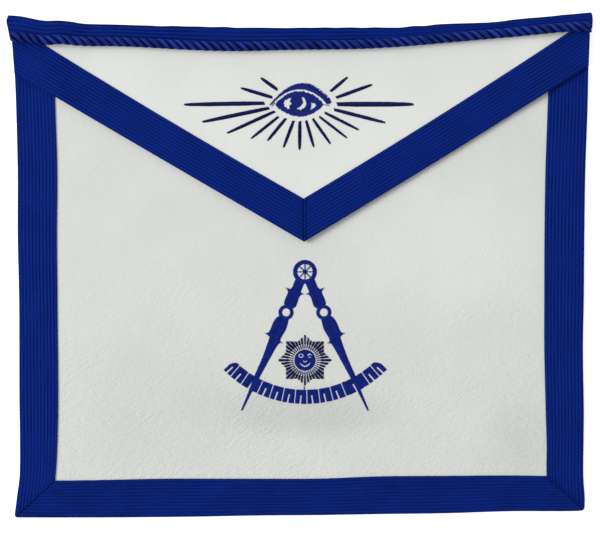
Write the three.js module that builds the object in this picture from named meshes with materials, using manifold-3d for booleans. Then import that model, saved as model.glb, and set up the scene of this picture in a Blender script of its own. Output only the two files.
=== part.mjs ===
import * as THREE from 'three';
import Module from 'manifold-3d';
import { mergeVertices } from 'three/addons/utils/BufferGeometryUtils.js';

// A white leather apron edged with ribbed blue ribbon, lying flat with its front up. Millimetres, +X to the
// right of the front, +Y up the front towards the waist, +Z out of the front. The origin is the middle of the
// footprint.

// Overall size, lying flat
const overallWidth = 418.5;
const overallHeight = 361;

// Leather and ribbon
const leatherThickness = 1.5;
const ribbonThickness = 1.0;
const ribbonWidth = 28;
const ribsPerRibbon = 11;
const ribDepth = 0.25;
const foldRadius = 0.9;
const foldCornerIn = 0.3;
const foldCornerDown = 0.45;
const seamGap = 0.35;

// Flap, measured from the top edge on the middle line down to its point
const flapDepth = 153;
const flapPointOffset = 3.2;
const flapLift = 1.8;
const flapLiftRun = 60;

// Band round the top edge, and the cord sewn along its lower edge
const bandWidth = 13.5;
const bandBackWidth = 14;
const bandRibs = 5;
const cordDiameter = 7;
const cordStrands = 4;
const cordStrandSpacing = 6.35;
const cordGrooveShare = 0.72;
const cordStepsPerTurn = 8;

// Ends of the cord: how far in from the overall width, as a share of bandWidth, and the length in steps and
// the girth of the rounded tip
const cordEndInset = 0.2;
const cordEndLength = 0.3;
const cordEndGirth = 0.55;

// How far a layer takes to come down from what it lies over
const drapeMargin = 2;
const drapeRun = 30;
const rampSteps = 4;

// Embroidery: the eye's reach is from its middle to the tip of the longest ray, and the compasses' height is
// from the middle of the head down to the points.
const stitchHeight = 0.8;
const eyeReach = 82.5;
const eyeOffset = 0.3;
const rayWidth = 1.7;
const compassHeight = 99.2;
const compassOffset = 3.8;
const spokeWidth = 0.7;
const blockGap = 0.7;
const blockSlotWidth = 1.0;

const LEATHER_WHITE = new THREE.Color('#dfe0dd');
const RIBBON_BLUE = new THREE.Color('#15266f');
const CORD_BLUE = new THREE.Color('#18297a');
const THREAD_BLUE = new THREE.Color('#1d2c86');

// Side edges, down from the top: inset is how far the edge lies in from the overall box, as a share of the
// overall width, and ribbon is how wide the ribbon shows, as a share of ribbonWidth.
const leftEdge = columns(['down', 'inset', 'ribbon'], [
  [0.06, 0.0095, 1.00],
  [0.126, 0.0137, 1.00],
  [0.19, 0.0160, 1.00],
  [0.316, 0.0186, 1.01],
  [0.443, 0.0187, 1.00],
  [0.57, 0.0210, 0.98],
  [0.76, 0.0215, 0.99],
  [0.854, 0.0225, 0.955],
  [0.917, 0.0219, 0.918],
  [0.955, 0.0178, 0.90],
  [0.994, 0.0135, 0.88],
]);
const rightEdge = columns(['down', 'inset', 'ribbon'], [
  [0.05, 0.0049, 1.00],
  [0.095, 0.0065, 1.00],
  [0.19, 0.0082, 1.02],
  [0.316, 0.0120, 1.02],
  [0.443, 0.0136, 1.02],
  [0.57, 0.0146, 1.01],
  [0.664, 0.0160, 0.99],
  [0.79, 0.0145, 0.975],
  [0.854, 0.0150, 0.945],
  [0.917, 0.0153, 0.94],
  [0.965, 0.0128, 0.92],
  [0.99, 0.0140, 0.90],
]);

// Bottom edge, from the left: inset as a share of the overall height
const bottomEdge = columns(['across', 'inset', 'ribbon'], [
  [0, 0.0002, 0.93],
  [0.15, 0.0002, 0.955],
  [0.26, 0.0010, 0.98],
  [0.33, 0.0020, 0.97],
  [0.43, 0.0041, 0.94],
  [0.535, 0.0050, 0.933],
  [0.64, 0.0070, 0.965],
  [0.75, 0.0086, 0.955],
  [0.86, 0.0125, 0.915],
  [0.97, 0.0128, 0.895],
  [1, 0.0160, 0.89],
]);

// Top edge, from the left: inset as a share of the overall height, cord is how far below the edge the cord's
// middle runs, as a share of bandWidth, and girth is the cord's thickness, as a share of cordDiameter.
const topEdge = columns(['across', 'inset', 'cord', 'girth'], [
  [0, 0.0060, 1.08, 0.94],
  [0.025, 0.0085, 1.07, 1.00],
  [0.065, 0.0172, 1.04, 1.02],
  [0.092, 0.0167, 1.02, 1.02],
  [0.125, 0.0215, 0.98, 1.02],
  [0.20, 0.0250, 0.92, 1.00],
  [0.33, 0.0286, 1.03, 1.02],
  [0.40, 0.0298, 1.04, 1.02],
  [0.47, 0.0303, 0.97, 1.00],
  [0.60, 0.0300, 0.92, 0.99],
  [0.67, 0.0293, 0.82, 0.99],
  [0.74, 0.0240, 0.78, 0.97],
  [0.81, 0.0205, 0.68, 0.94],
  [0.88, 0.0134, 0.66, 0.90],
  [0.94, 0.0068, 0.62, 0.84],
  [1, 0.0003, 0.68, 0.80],
]);

// Ends of the band, from its top edge to the cord: how far in each end lies, as a share of bandWidth
const bandEnds = columns(['across', 'left', 'right'], [
  [0, 0.11, 0.18],
  [0.25, 0.01, 0.02],
  [0.6, 0.08, 0.01],
  [1, 0.15, 0.16],
]);

// Sloping edges of the flap: shoulder is where the lower edge leaves the side, as a share of the overall
// height, flare is the ribbon's extra width there, and the bows are how far each edge sags, as shares of
// ribbonWidth.
const flapSides = {
  left: { shoulder: 0.120, flare: 0.055, lowerBow: 0.01, upperBow: 0.055 },
  right: { shoulder: 0.106, flare: 0.035, lowerBow: 0.04, upperBow: 0.07 },
};

// Soft swellings of the leather: places and half lengths as shares of the overall width and height, and the
// rise as a share of leatherThickness
const panelSwells = columns(['across', 'down', 'halfWidth', 'halfHeight', 'rise'], [
  [0.49, 0.66, 0.26, 0.19, 1.2],
  [0.55, 0.77, 0.16, 0.075, 0.4],
  [0.83, 0.84, 0.11, 0.085, 0.55],
  [0.17, 0.85, 0.10, 0.08, 0.35],
]);
const flapSwells = columns(['across', 'down', 'halfWidth', 'halfHeight', 'rise'], [
  [0.215, 0.112, 0.10, 0.085, 0.55],
  [0.785, 0.100, 0.10, 0.085, 0.5],
]);

// Rays round the eye: the direction in degrees and the reach as a share of eyeReach, at the inner and the
// outer end, and the thickness as a share of rayWidth
const eyeRays = columns(['innerTurn', 'inner', 'outerTurn', 'outer', 'thick'], [
  [147.5, 0.235, 146.4, 0.404, 1.2],
  [166.5, 0.249, 164.9, 0.527, 1.2],
  [178.6, 0.311, 180.3, 1.000, 1.45],
  [187.5, 0.273, 190.4, 0.856, 1.35],
  [196.2, 0.230, 201.8, 0.676, 1.15],
  [210.4, 0.219, 215.2, 0.516, 1.0],
  [225.4, 0.177, 228.5, 0.421, 1.1],
  [249.0, 0.157, 249.2, 0.400, 1.1],
  [269.3, 0.152, 269.5, 0.393, 1.2],
  [290.0, 0.154, 287.8, 0.387, 1.05],
  [310.7, 0.170, 307.4, 0.431, 1.0],
  [326.9, 0.202, 324.2, 0.499, 0.9],
  [340.7, 0.228, 336.3, 0.552, 1.0],
  [350.7, 0.301, 347.7, 0.750, 1.25],
  [359.7, 0.323, 359.9, 0.978, 1.7],
  [10.1, 0.320, 15.1, 0.644, 1.2],
  [22.5, 0.287, 29.5, 0.469, 1.1],
]);

// Outlines of the eye, right and up from its middle, as shares of its width, which is a share of eyeReach
const eyeWidthShare = 0.441;
const eyeDownShare = 0.357;
const lidTop = [[-0.55, 0.02], [-0.43, 0.17], [-0.27, 0.31], [-0.09, 0.395], [0.10, 0.41], [0.29, 0.34],
  [0.45, 0.21], [0.56, 0.09], [0.60, 0.02]];
const lidUnder = [[0.53, 0.00], [0.42, 0.12], [0.27, 0.22], [0.10, 0.285], [-0.08, 0.29], [-0.25, 0.245],
  [-0.42, 0.13]];
const eyeOutline = [[-0.52, -0.02], [-0.36, 0.11], [-0.20, 0.20], [-0.03, 0.235], [0.14, 0.215], [0.30, 0.14],
  [0.47, -0.01], [0.34, -0.13], [0.20, -0.21], [0.02, -0.25], [-0.15, -0.235], [-0.32, -0.15]];
const eyeWhites = [
  [[-0.34, 0.03], [-0.26, 0.10], [-0.16, 0.13], [-0.21, 0.05], [-0.15, 0.01], [-0.22, -0.02], [-0.19, -0.12],
    [-0.29, -0.07]],
  [[0.05, 0.08], [0.09, 0.06], [0.10, -0.01], [0.06, -0.08], [0.00, -0.10], [-0.07, -0.08], [-0.07, -0.05],
    [0.01, -0.06], [0.06, -0.01]],
  [[0.20, 0.06], [0.34, -0.02], [0.18, -0.12], [0.23, -0.03]],
];

// A leg of the compasses: out from the middle line and down from the head's middle, as shares of
// compassHeight, along its outer edge and back up its inner edge
const legOuter = [[0.068, 0.050], [0.098, 0.128], [0.132, 0.114], [0.117, 0.140], [0.145, 0.200], [0.152, 0.228],
  [0.144, 0.242], [0.156, 0.300], [0.188, 0.318], [0.211, 0.334], [0.230, 0.366], [0.246, 0.407], [0.258, 0.434],
  [0.281, 0.443], [0.260, 0.463], [0.253, 0.465], [0.270, 0.517], [0.312, 0.633], [0.365, 0.750], [0.402, 0.852],
  [0.460, 0.996]];
const legInner = [[0.450, 1.000], [0.382, 0.865], [0.326, 0.759], [0.266, 0.650], [0.196, 0.522], [0.170, 0.508],
  [0.180, 0.491], [0.163, 0.460], [0.137, 0.418], [0.124, 0.377], [0.118, 0.345], [0.092, 0.266], [0.066, 0.253],
  [0.056, 0.228], [0.047, 0.195], [0.033, 0.168], [0.011, 0.160], [0.033, 0.150], [0.014, 0.106], [0.004, 0.083]];
const kneePlace = [0.136, 0.292];

// Other parts of the emblem below the flap, as shares of compassHeight: downs are measured from the head's
// middle, and aboveShare is how much of the bare leather above and below the emblem lies above it.
const emblem = {
  aboveShare: 0.21,
  headRadius: 0.0857,
  headHole: 0.0555,
  hub: 0.016,
  kneeRadius: 0.0545,
  kneeHole: 0.029,
  quadrantRadius: 0.8215,
  quadrantWidth: 0.101,
  quadrantDown: 0.1285,
  sunRadius: 0.1905,
  sunDown: 0.636,
  sunRing: 0.0867,
  sunFace: 0.0766,
};
const spokeCount = 8;
const starPoints = 8;
const starValleyShare = 0.765;

// Blocks of the quadrant, by the direction of their ends in degrees from straight down, and leg names the one
// that a leg crosses
const quadrantBlocks = columns(['from', 'to', 'leg'], [
  [-45.6, -40.7, ''],
  [-40.7, -34.1, ''],
  [-34.1, -24.8, 'left'],
  [-24.8, -18.3, ''],
  [-18.3, -11.8, ''],
  [-11.8, -5.3, ''],
  [-5.3, 1.0, ''],
  [1.0, 7.6, ''],
  [7.6, 14.3, ''],
  [14.3, 21.2, ''],
  [21.2, 34.5, 'right'],
  [34.5, 40.7, ''],
  [40.7, 46.1, ''],
]);

const leather = new THREE.MeshStandardMaterial({ name: 'white_leather', color: LEATHER_WHITE, roughness: 0.55 });
const ribbon = new THREE.MeshStandardMaterial({ name: 'blue_ribbon', color: RIBBON_BLUE, roughness: 0.7 });
const cord = new THREE.MeshStandardMaterial({ name: 'blue_cord', color: CORD_BLUE, roughness: 0.5 });
const thread = new THREE.MeshStandardMaterial({ name: 'blue_thread', color: THREAD_BLUE, roughness: 0.45 });

const apron = new THREE.Group();
const wasm = await Module();
wasm.setup();

// Reading the tables

function columns(names, rows) {
  return rows.map((row) => Object.fromEntries(names.map((name, i) => [name, row[i]])));
}

// Smooth value of one column at a place along another, by a cubic through each pair of rows
function read(table, key, column, at) {
  const last = table.length - 1;
  let i = 0;
  while (i < last - 1 && at > table[i + 1][key]) i += 1;
  const slope = (k) => {
    const before = table[Math.max(k - 1, 0)];
    const after = table[Math.min(k + 1, last)];
    return (after[column] - before[column]) / (after[key] - before[key]);
  };
  const start = table[i];
  const end = table[i + 1];
  const run = end[key] - start[key];
  const t = THREE.MathUtils.clamp((at - start[key]) / run, 0, 1);
  const rise = end[column] - start[column];
  const a = slope(i) * run - rise;
  const b = rise - slope(i + 1) * run;
  return start[column] + rise * t + t * (1 - t) * (a * (1 - t) + b * t);
}

function mix(a, b, t) {
  return a + (b - a) * t;
}

// Edges of the apron in plan

const downOf = (y) => 0.5 - y / overallHeight;
const acrossOf = (x) => 0.5 + x / overallWidth;
const leftX = (y) => (read(leftEdge, 'down', 'inset', downOf(y)) - 0.5) * overallWidth;
const rightX = (y) => (0.5 - read(rightEdge, 'down', 'inset', downOf(y))) * overallWidth;
const bottomY = (x) => (read(bottomEdge, 'across', 'inset', acrossOf(x)) - 0.5) * overallHeight;
const topY = (x) => (0.5 - read(topEdge, 'across', 'inset', acrossOf(x))) * overallHeight;
const leftInnerX = (y) => leftX(y) + ribbonWidth * read(leftEdge, 'down', 'ribbon', downOf(y));
const rightInnerX = (y) => rightX(y) - ribbonWidth * read(rightEdge, 'down', 'ribbon', downOf(y));
const bottomInnerY = (x) => bottomY(x) + ribbonWidth * read(bottomEdge, 'across', 'ribbon', acrossOf(x));
const hem = ribbonThickness + seamGap;
const topHem = hem + seamGap;
const middleTop = topY(0);

// Where an upright edge meets a level one
function meeting(xOf, yOf) {
  let x = xOf(0);
  let y = yOf(x);
  for (let turn = 0; turn < 6; turn += 1) {
    x = xOf(y);
    y = yOf(x);
  }
  return { x, y };
}

const flapPoint = { x: flapPointOffset, y: middleTop - flapDepth };

// One sloping side of the flap: ends of its lower edge, and the ribbon's height measured upright
function flapSide(name) {
  const { shoulder, flare, lowerBow, upperBow } = flapSides[name];
  const y = (0.5 - shoulder) * overallHeight;
  const edge = name === 'left' ? leftX : rightX;
  const slope = Math.atan2(y - flapPoint.y, Math.abs(edge(y) - flapPoint.x));
  const upright = ribbonWidth / Math.cos(slope);
  return { edge, y, slope, upright, flare, lowerBow, upperBow };
}

const flapLeft = flapSide('left');
const flapRight = flapSide('right');

// A place on a sloping side: t across the ribbon from its lower edge, s from the shoulder to the point
function flapPlace(side, t, s) {
  const shoulderY = side.y + t * side.upright * (1 + side.flare);
  const shoulderX = side.edge(shoulderY);
  const pointY = flapPoint.y + t * side.upright;
  const bow = mix(side.lowerBow, side.upperBow, t) * ribbonWidth * 4 * s * (1 - s);
  return { x: mix(shoulderX, flapPoint.x, s), y: mix(shoulderY, pointY, s) - bow };
}

// Lower edge of the flap panel at x, inside the ribbon's turned edge
function flapPanelY(x) {
  const side = x < flapPoint.x ? flapLeft : flapRight;
  const outer = flapPlace(side, 0, 0);
  const s = THREE.MathUtils.clamp((x - outer.x) / (flapPoint.x - outer.x), 0, 1);
  return flapPlace(side, 0, s).y + hem / Math.cos(side.slope);
}

// Heights of the lying layers

function swelling(table, x, y) {
  let height = 0;
  for (const swell of table) {
    const u = (acrossOf(x) - swell.across) / swell.halfWidth;
    const v = (downOf(y) - swell.down) / swell.halfHeight;
    const rest = Math.max(0, 1 - u * u - v * v);
    height += swell.rise * leatherThickness * rest * rest;
  }
  return height;
}

// 1 within reach of an edge, easing to 0 past it
function drape(distance, reach) {
  return 1 - THREE.MathUtils.smoothstep(distance, reach + drapeMargin, reach + drapeMargin + drapeRun);
}

// 1 where a side ribbon lies below
function overSides(x, y) {
  const edge = Math.min(x - leftX(y), rightX(y) - x);
  return drape(edge, ribbonWidth);
}

function panelUnder(x, y) {
  const overBand = drape(topY(x) - y, bandBackWidth);
  return (ribbonThickness + seamGap) * overBand + swelling(panelSwells, x, y);
}

const panelTop = (x, y) => panelUnder(x, y) + leatherThickness;
const sideRibbonUnder = (x, y) => panelTop(x, y) + seamGap;

function flapUnder(x, y) {
  const half = overallWidth / 2;
  const middle = Math.max(0, 1 - Math.abs(x - flapPoint.x) / half);
  const above = Math.max(0, y - flapPanelY(x));
  const lift = flapLift * middle * (1 - THREE.MathUtils.smoothstep(above, 0, flapLiftRun));
  const swell = swelling(flapSwells, x, y);
  return sideRibbonUnder(x, y) + (ribbonThickness + seamGap) * overSides(x, y) + lift + swell;
}

const flapTop = (x, y) => flapUnder(x, y) + leatherThickness;
const flapRibbonUnder = (x, y) => flapTop(x, y) + seamGap;
const bandUnder = (x, y) => flapRibbonUnder(x, y) + (ribbonThickness + seamGap) * overSides(x, y);

// Shares along a row or a column, closer together where a layer drapes: even is how many more steps follow

function drapedShares(reach, length, even, mirrored) {
  const start = (reach + drapeMargin) / length;
  const ramp = drapeRun / length;
  const stop = mirrored ? 0.5 : 1;
  const shares = [0, start / 3, start / 1.5, start];
  for (let i = 1; i <= rampSteps; i += 1) shares.push(start + (ramp * i) / rampSteps);
  for (let i = 1; i <= even; i += 1) shares.push(mix(start + ramp, stop, i / even));
  if (mirrored) shares.push(...shares.slice(0, -1).reverse().map((share) => 1 - share));
  return shares;
}

const acrossShares = drapedShares(ribbonWidth, overallWidth, 5, true);
const downShares = drapedShares(bandBackWidth, overallHeight, 8, false);
const sideShares = drapedShares(bandBackWidth, overallHeight, 6, false);
const slopeShares = drapedShares(ribbonWidth, overallWidth / 2, 4, false);
const ribbonUnderSteps = 4;
const flapRows = 8;
const flapRowCrowding = 1.3;
const flapRowShares = Array.from({ length: flapRows + 1 }, (_, i) => (i / flapRows) ** flapRowCrowding);

// Solids

function solid(positions, index) {
  const geometry = new THREE.BufferGeometry();
  geometry.setAttribute('position', new THREE.Float32BufferAttribute(positions.flat(), 3));
  geometry.setIndex(index);
  if (signedVolume(geometry) < 0) geometry.setIndex(index.toReversed());
  geometry.computeVertexNormals();
  return geometry;
}

function signedVolume(geometry) {
  const corner = [0, 1, 2].map(() => new THREE.Vector3());
  const { position } = geometry.attributes;
  let sum = 0;
  for (let i = 0; i < geometry.index.count; i += 3) {
    corner.forEach((point, k) => point.fromBufferAttribute(position, geometry.index.getX(i + k)));
    sum += corner[0].dot(corner[1].clone().cross(corner[2]));
  }
  return sum / 6;
}

// Closed skin through rings of points of equal count, each end closed flat by its outline's triangles
function loft(rings, outline) {
  const count = rings[0].length;
  const index = [];
  for (let i = 0; i < rings.length - 1; i += 1) {
    for (let j = 0; j < count; j += 1) {
      const a = i * count + j;
      const b = i * count + ((j + 1) % count);
      index.push(a, b, b + count, a, b + count, a + count);
    }
  }
  const faces = THREE.ShapeUtils.triangulateShape(outline.map(([x, y]) => new THREE.Vector2(x, y)), []);
  const wound = THREE.ShapeUtils.isClockWise(outline.map(([x, y]) => new THREE.Vector2(x, y)));
  const end = (rings.length - 1) * count;
  for (const [a, b, c] of faces) {
    const [first, second] = wound ? [b, c] : [c, b];
    index.push(a, first, second);
    index.push(end + a, end + second, end + first);
  }
  return solid(rings.flat(), index);
}

// A wall between an under and an upper height over a grid of places
function sheet(rows, columnsAcross, place, under, thickness) {
  const positions = [];
  for (const lift of [0, thickness]) {
    for (const v of rows) {
      for (const u of columnsAcross) {
        const { x, y } = place(u, v);
        positions.push([x, y, under(x, y) + lift]);
      }
    }
  }
  const wide = columnsAcross.length;
  const tall = rows.length;
  const layer = wide * tall;
  const index = [];
  for (let i = 0; i < tall - 1; i += 1) {
    for (let j = 0; j < wide - 1; j += 1) {
      const a = i * wide + j;
      const [b, c, d] = [a + 1, a + wide + 1, a + wide];
      index.push(a, b, c, a, c, d);
      index.push(layer + a, layer + c, layer + b, layer + a, layer + d, layer + c);
    }
  }
  const rim = [];
  for (let j = 0; j < wide - 1; j += 1) rim.push(j);
  for (let i = 0; i < tall - 1; i += 1) rim.push(i * wide + wide - 1);
  for (let j = wide - 1; j > 0; j -= 1) rim.push((tall - 1) * wide + j);
  for (let i = tall - 1; i > 0; i -= 1) rim.push(i * wide);
  rim.forEach((a, k) => {
    const b = rim[(k + 1) % rim.length];
    index.push(b, a, layer + a, b, layer + a, layer + b);
  });
  return solid(positions, index);
}

function addPiece(name, geometry, material) {
  const mesh = new THREE.Mesh(geometry, material);
  mesh.name = name;
  apron.add(mesh);
}

// Ribbon sewn on flat, with its outer edge turned down over the leather: its section, as distances in from
// the outer edge and heights above the face below, with floor for the foot of the turned edge
function ribbonSection() {
  const section = [];
  const steps = 2 * ribsPerRibbon;
  for (let j = 0; j <= steps; j += 1) {
    const inward = mix(ribbonWidth, foldRadius, j / steps);
    section.push({ inward, height: ribbonThickness - (j % 2 === 0 ? ribDepth : 0) });
  }
  section.push({ inward: foldRadius * foldCornerIn, height: ribbonThickness - foldRadius * foldCornerDown });
  section.push({ inward: 0, height: ribbonThickness - foldRadius });
  section.push({ inward: 0, height: -seamGap - leatherThickness });
  section.push({ inward: ribbonThickness, height: -seamGap - leatherThickness });
  for (let j = 0; j <= ribbonUnderSteps; j += 1) {
    section.push({ inward: mix(ribbonThickness, ribbonWidth, j / ribbonUnderSteps), height: 0 });
  }
  return section;
}

function ribbonStrip(shares, place, under) {
  const section = ribbonSection();
  const rings = shares.map((s) => section.map(({ inward, height }) => {
    const { x, y } = place(inward / ribbonWidth, s);
    return [x, y, under(x, y) + height];
  }));
  return loft(rings, section.map(({ inward, height }) => [inward, height]));
}

// Leather pieces

function panelPlace(u, v) {
  let x = mix(leftX(0), rightX(0), u);
  let y = 0;
  for (let turn = 0; turn < 5; turn += 1) {
    y = mix(topY(x) - topHem, bottomY(x) + hem, v);
    x = mix(leftX(y) + hem, rightX(y) - hem, u);
  }
  return { x, y };
}

function flapPanelPlace(u, v) {
  const pointShare = (flapPoint.x - leftX(flapPoint.y)) / (rightX(flapPoint.y) - leftX(flapPoint.y));
  const share = u < 0.5 ? u * 2 * pointShare : mix(pointShare, 1, (u - 0.5) * 2);
  let x = mix(leftX(0), rightX(0), share);
  let y = 0;
  for (let turn = 0; turn < 5; turn += 1) {
    y = mix(topY(x) - topHem, flapPanelY(x), v);
    x = mix(leftX(y) + hem, rightX(y) - hem, share);
  }
  return { x, y };
}

addPiece('apron_panel', sheet(downShares, acrossShares, panelPlace, panelUnder, leatherThickness), leather);
addPiece('flap_panel', sheet(flapRowShares, acrossShares, flapPanelPlace, flapUnder, leatherThickness), leather);

// Ribbons round the sides and the bottom, meeting on a mitre at each corner

function mitre(outerX, innerX) {
  return { outer: meeting(outerX, bottomY), inner: meeting(innerX, bottomInnerY) };
}

const leftMitre = mitre(leftX, leftInnerX);
const rightMitre = mitre(rightX, rightInnerX);
const mitreSetback = seamGap * Math.SQRT1_2;

function sideRibbonPlace(outerX, innerX, corner) {
  return (t, s) => {
    const endY = mix(corner.outer.y, corner.inner.y, t) + mitreSetback;
    const endX = mix(corner.outer.x, corner.inner.x, t);
    const topEnd = topY(endX) - topHem;
    const y = mix(topEnd, endY, s);
    const x = mix(outerX(y), innerX(y), t);
    const correction = endX - mix(outerX(endY), innerX(endY), t);
    return { x: x + correction * s ** 6, y };
  };
}

function bottomRibbonPlace(t, s) {
  const startX = mix(leftMitre.outer.x, leftMitre.inner.x, t) + mitreSetback;
  const endX = mix(rightMitre.outer.x, rightMitre.inner.x, t) - mitreSetback;
  const x = mix(startX, endX, s);
  const y = mix(bottomY(x), bottomInnerY(x), t);
  const startY = mix(leftMitre.outer.y, leftMitre.inner.y, t);
  const endY = mix(rightMitre.outer.y, rightMitre.inner.y, t);
  const startPull = (startY - mix(bottomY(startX), bottomInnerY(startX), t)) * (1 - s) ** 6;
  const endPull = (endY - mix(bottomY(endX), bottomInnerY(endX), t)) * s ** 6;
  return { x, y: y + startPull + endPull };
}

const bottomStations = 12;
const bottomShares = Array.from({ length: bottomStations }, (_, i) => i / (bottomStations - 1));
const leftPlace = sideRibbonPlace(leftX, leftInnerX, leftMitre);
const rightPlace = sideRibbonPlace(rightX, rightInnerX, rightMitre);
addPiece('side_ribbon_left', ribbonStrip(sideShares, leftPlace, sideRibbonUnder), ribbon);
addPiece('side_ribbon_right', ribbonStrip(sideShares, rightPlace, sideRibbonUnder), ribbon);
addPiece('bottom_ribbon', ribbonStrip(bottomShares, bottomRibbonPlace, sideRibbonUnder), ribbon);

// Ribbons along the flap, meeting in an upright seam at its point

function flapRibbonPlace(side) {
  return (t, s) => {
    const place = flapPlace(side, t, s);
    const away = Math.sign(place.x - flapPoint.x || side.edge(side.y)) * (seamGap / 2);
    return { x: place.x + (s === 1 ? away : 0), y: place.y };
  };
}

addPiece('flap_ribbon_left', ribbonStrip(slopeShares, flapRibbonPlace(flapLeft), flapRibbonUnder), ribbon);
addPiece('flap_ribbon_right', ribbonStrip(slopeShares, flapRibbonPlace(flapRight), flapRibbonUnder), ribbon);

// Band folded over the top edge, from under the cord on the front round to its back

function cordDown(x) {
  return bandWidth * read(topEdge, 'across', 'cord', acrossOf(x));
}

function bandRing(s) {
  const ring = [];
  const add = (along, height) => {
    const ends = (side) => bandWidth * read(bandEnds, 'across', side, Math.min(along, 1));
    const x = mix(ends('left') - overallWidth / 2, overallWidth / 2 - ends('right'), s);
    const down = along * cordDown(x);
    ring.push([x, topY(x) - down, height(x, topY(x) - down)]);
  };
  const middle = overallWidth * (s - 0.5);
  const inward = (distance) => distance / cordDown(middle);
  const crest = (x, y) => bandUnder(x, y) + ribbonThickness;
  const steps = 2 * bandRibs;
  for (let j = 0; j <= steps; j += 1) {
    const depth = j % 2 === 0 ? ribDepth : 0;
    add(mix(1, inward(foldRadius), j / steps), (x, y) => crest(x, y) - depth);
  }
  add(inward(foldRadius * foldCornerIn), (x, y) => crest(x, y) - foldRadius * foldCornerDown);
  add(0, (x, y) => crest(x, y) - foldRadius);
  add(0, () => foldRadius);
  add(inward(foldRadius * foldCornerIn), () => foldRadius * foldCornerDown);
  add(inward(foldRadius), () => 0);
  add(inward(bandBackWidth), () => 0);
  add(inward(bandBackWidth), () => ribbonThickness);
  add(inward(ribbonThickness), () => ribbonThickness);
  add(inward(ribbonThickness), bandUnder);
  add(1, bandUnder);
  return ring;
}

const bandRings = acrossShares.map(bandRing);
addPiece('top_band', loft(bandRings, bandRings[0].map(([, y, z]) => [y, z])), ribbon);

// Twisted cord along the band's lower edge

function cordRing(x, girth) {
  const ring = [];
  const radius = (cordDiameter / 2) * read(topEdge, 'across', 'girth', acrossOf(x));
  const y = topY(x) - cordDown(x);
  const z = bandUnder(x, y) + ribbonThickness + seamGap + radius;
  const turn = (2 * Math.PI * x) / (cordStrands * cordStrandSpacing);
  for (let j = 0; j < 2 * cordStrands; j += 1) {
    const angle = turn + (Math.PI * j) / cordStrands;
    const reach = radius * girth * (j % 2 === 0 ? 1 : cordGrooveShare);
    ring.push([x, y + reach * Math.cos(angle), z + reach * Math.sin(angle)]);
  }
  return ring;
}

function twistedCord() {
  const inset = bandWidth * cordEndInset;
  const start = inset - overallWidth / 2;
  const end = overallWidth / 2 - inset;
  const step = (cordStrands * cordStrandSpacing) / cordStepsPerTurn;
  const count = Math.round((end - start) / step);
  const rings = [cordRing(start - step * cordEndLength, cordEndGirth)];
  for (let i = 0; i <= count; i += 1) rings.push(cordRing(mix(start, end, i / count), 1));
  rings.push(cordRing(end + step * cordEndLength, cordEndGirth));
  return loft(rings, rings[0].map(([, y, z]) => [y, z]));
}

addPiece('twisted_cord', twistedCord(), cord);

// Embroidery, as low solids that follow the leather below

function outline(points) {
  const corners = points.map(([x, y]) => new THREE.Vector2(x, y));
  if (THREE.ShapeUtils.isClockWise(corners)) corners.reverse();
  return new THREE.Shape(corners);
}

function prism(shape) {
  const geometry = new THREE.ExtrudeGeometry(shape, { depth: stitchHeight, bevelEnabled: false, curveSegments: 6 });
  geometry.deleteAttribute('normal');
  geometry.deleteAttribute('uv');
  return mergeVertices(geometry);
}

function toManifold(geometry) {
  return new wasm.Manifold(new wasm.Mesh({
    numProp: 3,
    vertProperties: geometry.attributes.position.array,
    triVerts: new Uint32Array(geometry.index.array),
  }));
}

function fromManifold(body) {
  const { vertProperties, triVerts } = body.getMesh();
  const geometry = new THREE.BufferGeometry();
  geometry.setAttribute('position', new THREE.Float32BufferAttribute(vertProperties, 3));
  geometry.setIndex([...triVerts]);
  return geometry;
}

function layOn(geometry, face) {
  const { position } = geometry.attributes;
  for (let i = 0; i < position.count; i += 1) {
    const x = position.getX(i);
    const y = position.getY(i);
    position.setZ(i, position.getZ(i) + face(x, y) + seamGap);
  }
  geometry.computeVertexNormals();
  return geometry;
}

function polar(centre, radius, angle) {
  return [centre.x + radius * Math.cos(angle), centre.y + radius * Math.sin(angle)];
}

function disc(centre, radius, sides) {
  const turn = (2 * Math.PI) / sides;
  return Array.from({ length: sides }, (_, i) => polar(centre, radius, i * turn));
}

const radians = THREE.MathUtils.degToRad;
const eyeCentre = { x: eyeOffset, y: middleTop - eyeDownShare * flapDepth };
const eyeWidth = eyeWidthShare * eyeReach;

function eyeShape(points) {
  return outline(points.map(([x, y]) => [eyeCentre.x + x * eyeWidth, eyeCentre.y + y * eyeWidth]));
}

// A ray is widest near its inner end and runs out to a narrow tip: places along it and half widths.
const raySides = [[0, 0.7], [0.25, 1], [1, 0.25]];

function rayShape({ innerTurn, inner, outerTurn, outer, thick }) {
  const start = polar(eyeCentre, inner * eyeReach, radians(innerTurn));
  const end = polar(eyeCentre, outer * eyeReach, radians(outerTurn));
  const length = Math.hypot(end[0] - start[0], end[1] - start[1]);
  const [ux, uy] = [(end[0] - start[0]) / length, (end[1] - start[1]) / length];
  const half = (rayWidth * thick) / 2;
  const at = (along, side) => [
    start[0] + ux * along * length - uy * side * half,
    start[1] + uy * along * length + ux * side * half,
  ];
  const right = raySides.map(([along, width]) => at(along, -width));
  const left = raySides.toReversed().map(([along, width]) => at(along, width));
  return outline([...right, ...left]);
}

addPiece('eye_lid', layOn(prism(eyeShape([...lidTop, ...lidUnder])), flapTop), thread);
const iris = eyeShape(eyeOutline);
iris.holes = eyeWhites.map(eyeShape);
addPiece('eye_iris', layOn(prism(iris), flapTop), thread);
eyeRays.forEach((ray, i) => {
  const name = `eye_ray_${String(i + 1).padStart(2, '0')}`;
  addPiece(name, layOn(prism(rayShape(ray)), flapTop), thread);
});

// Compasses: a ring with spokes at the head, and two legs that each run down through one quadrant block

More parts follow.
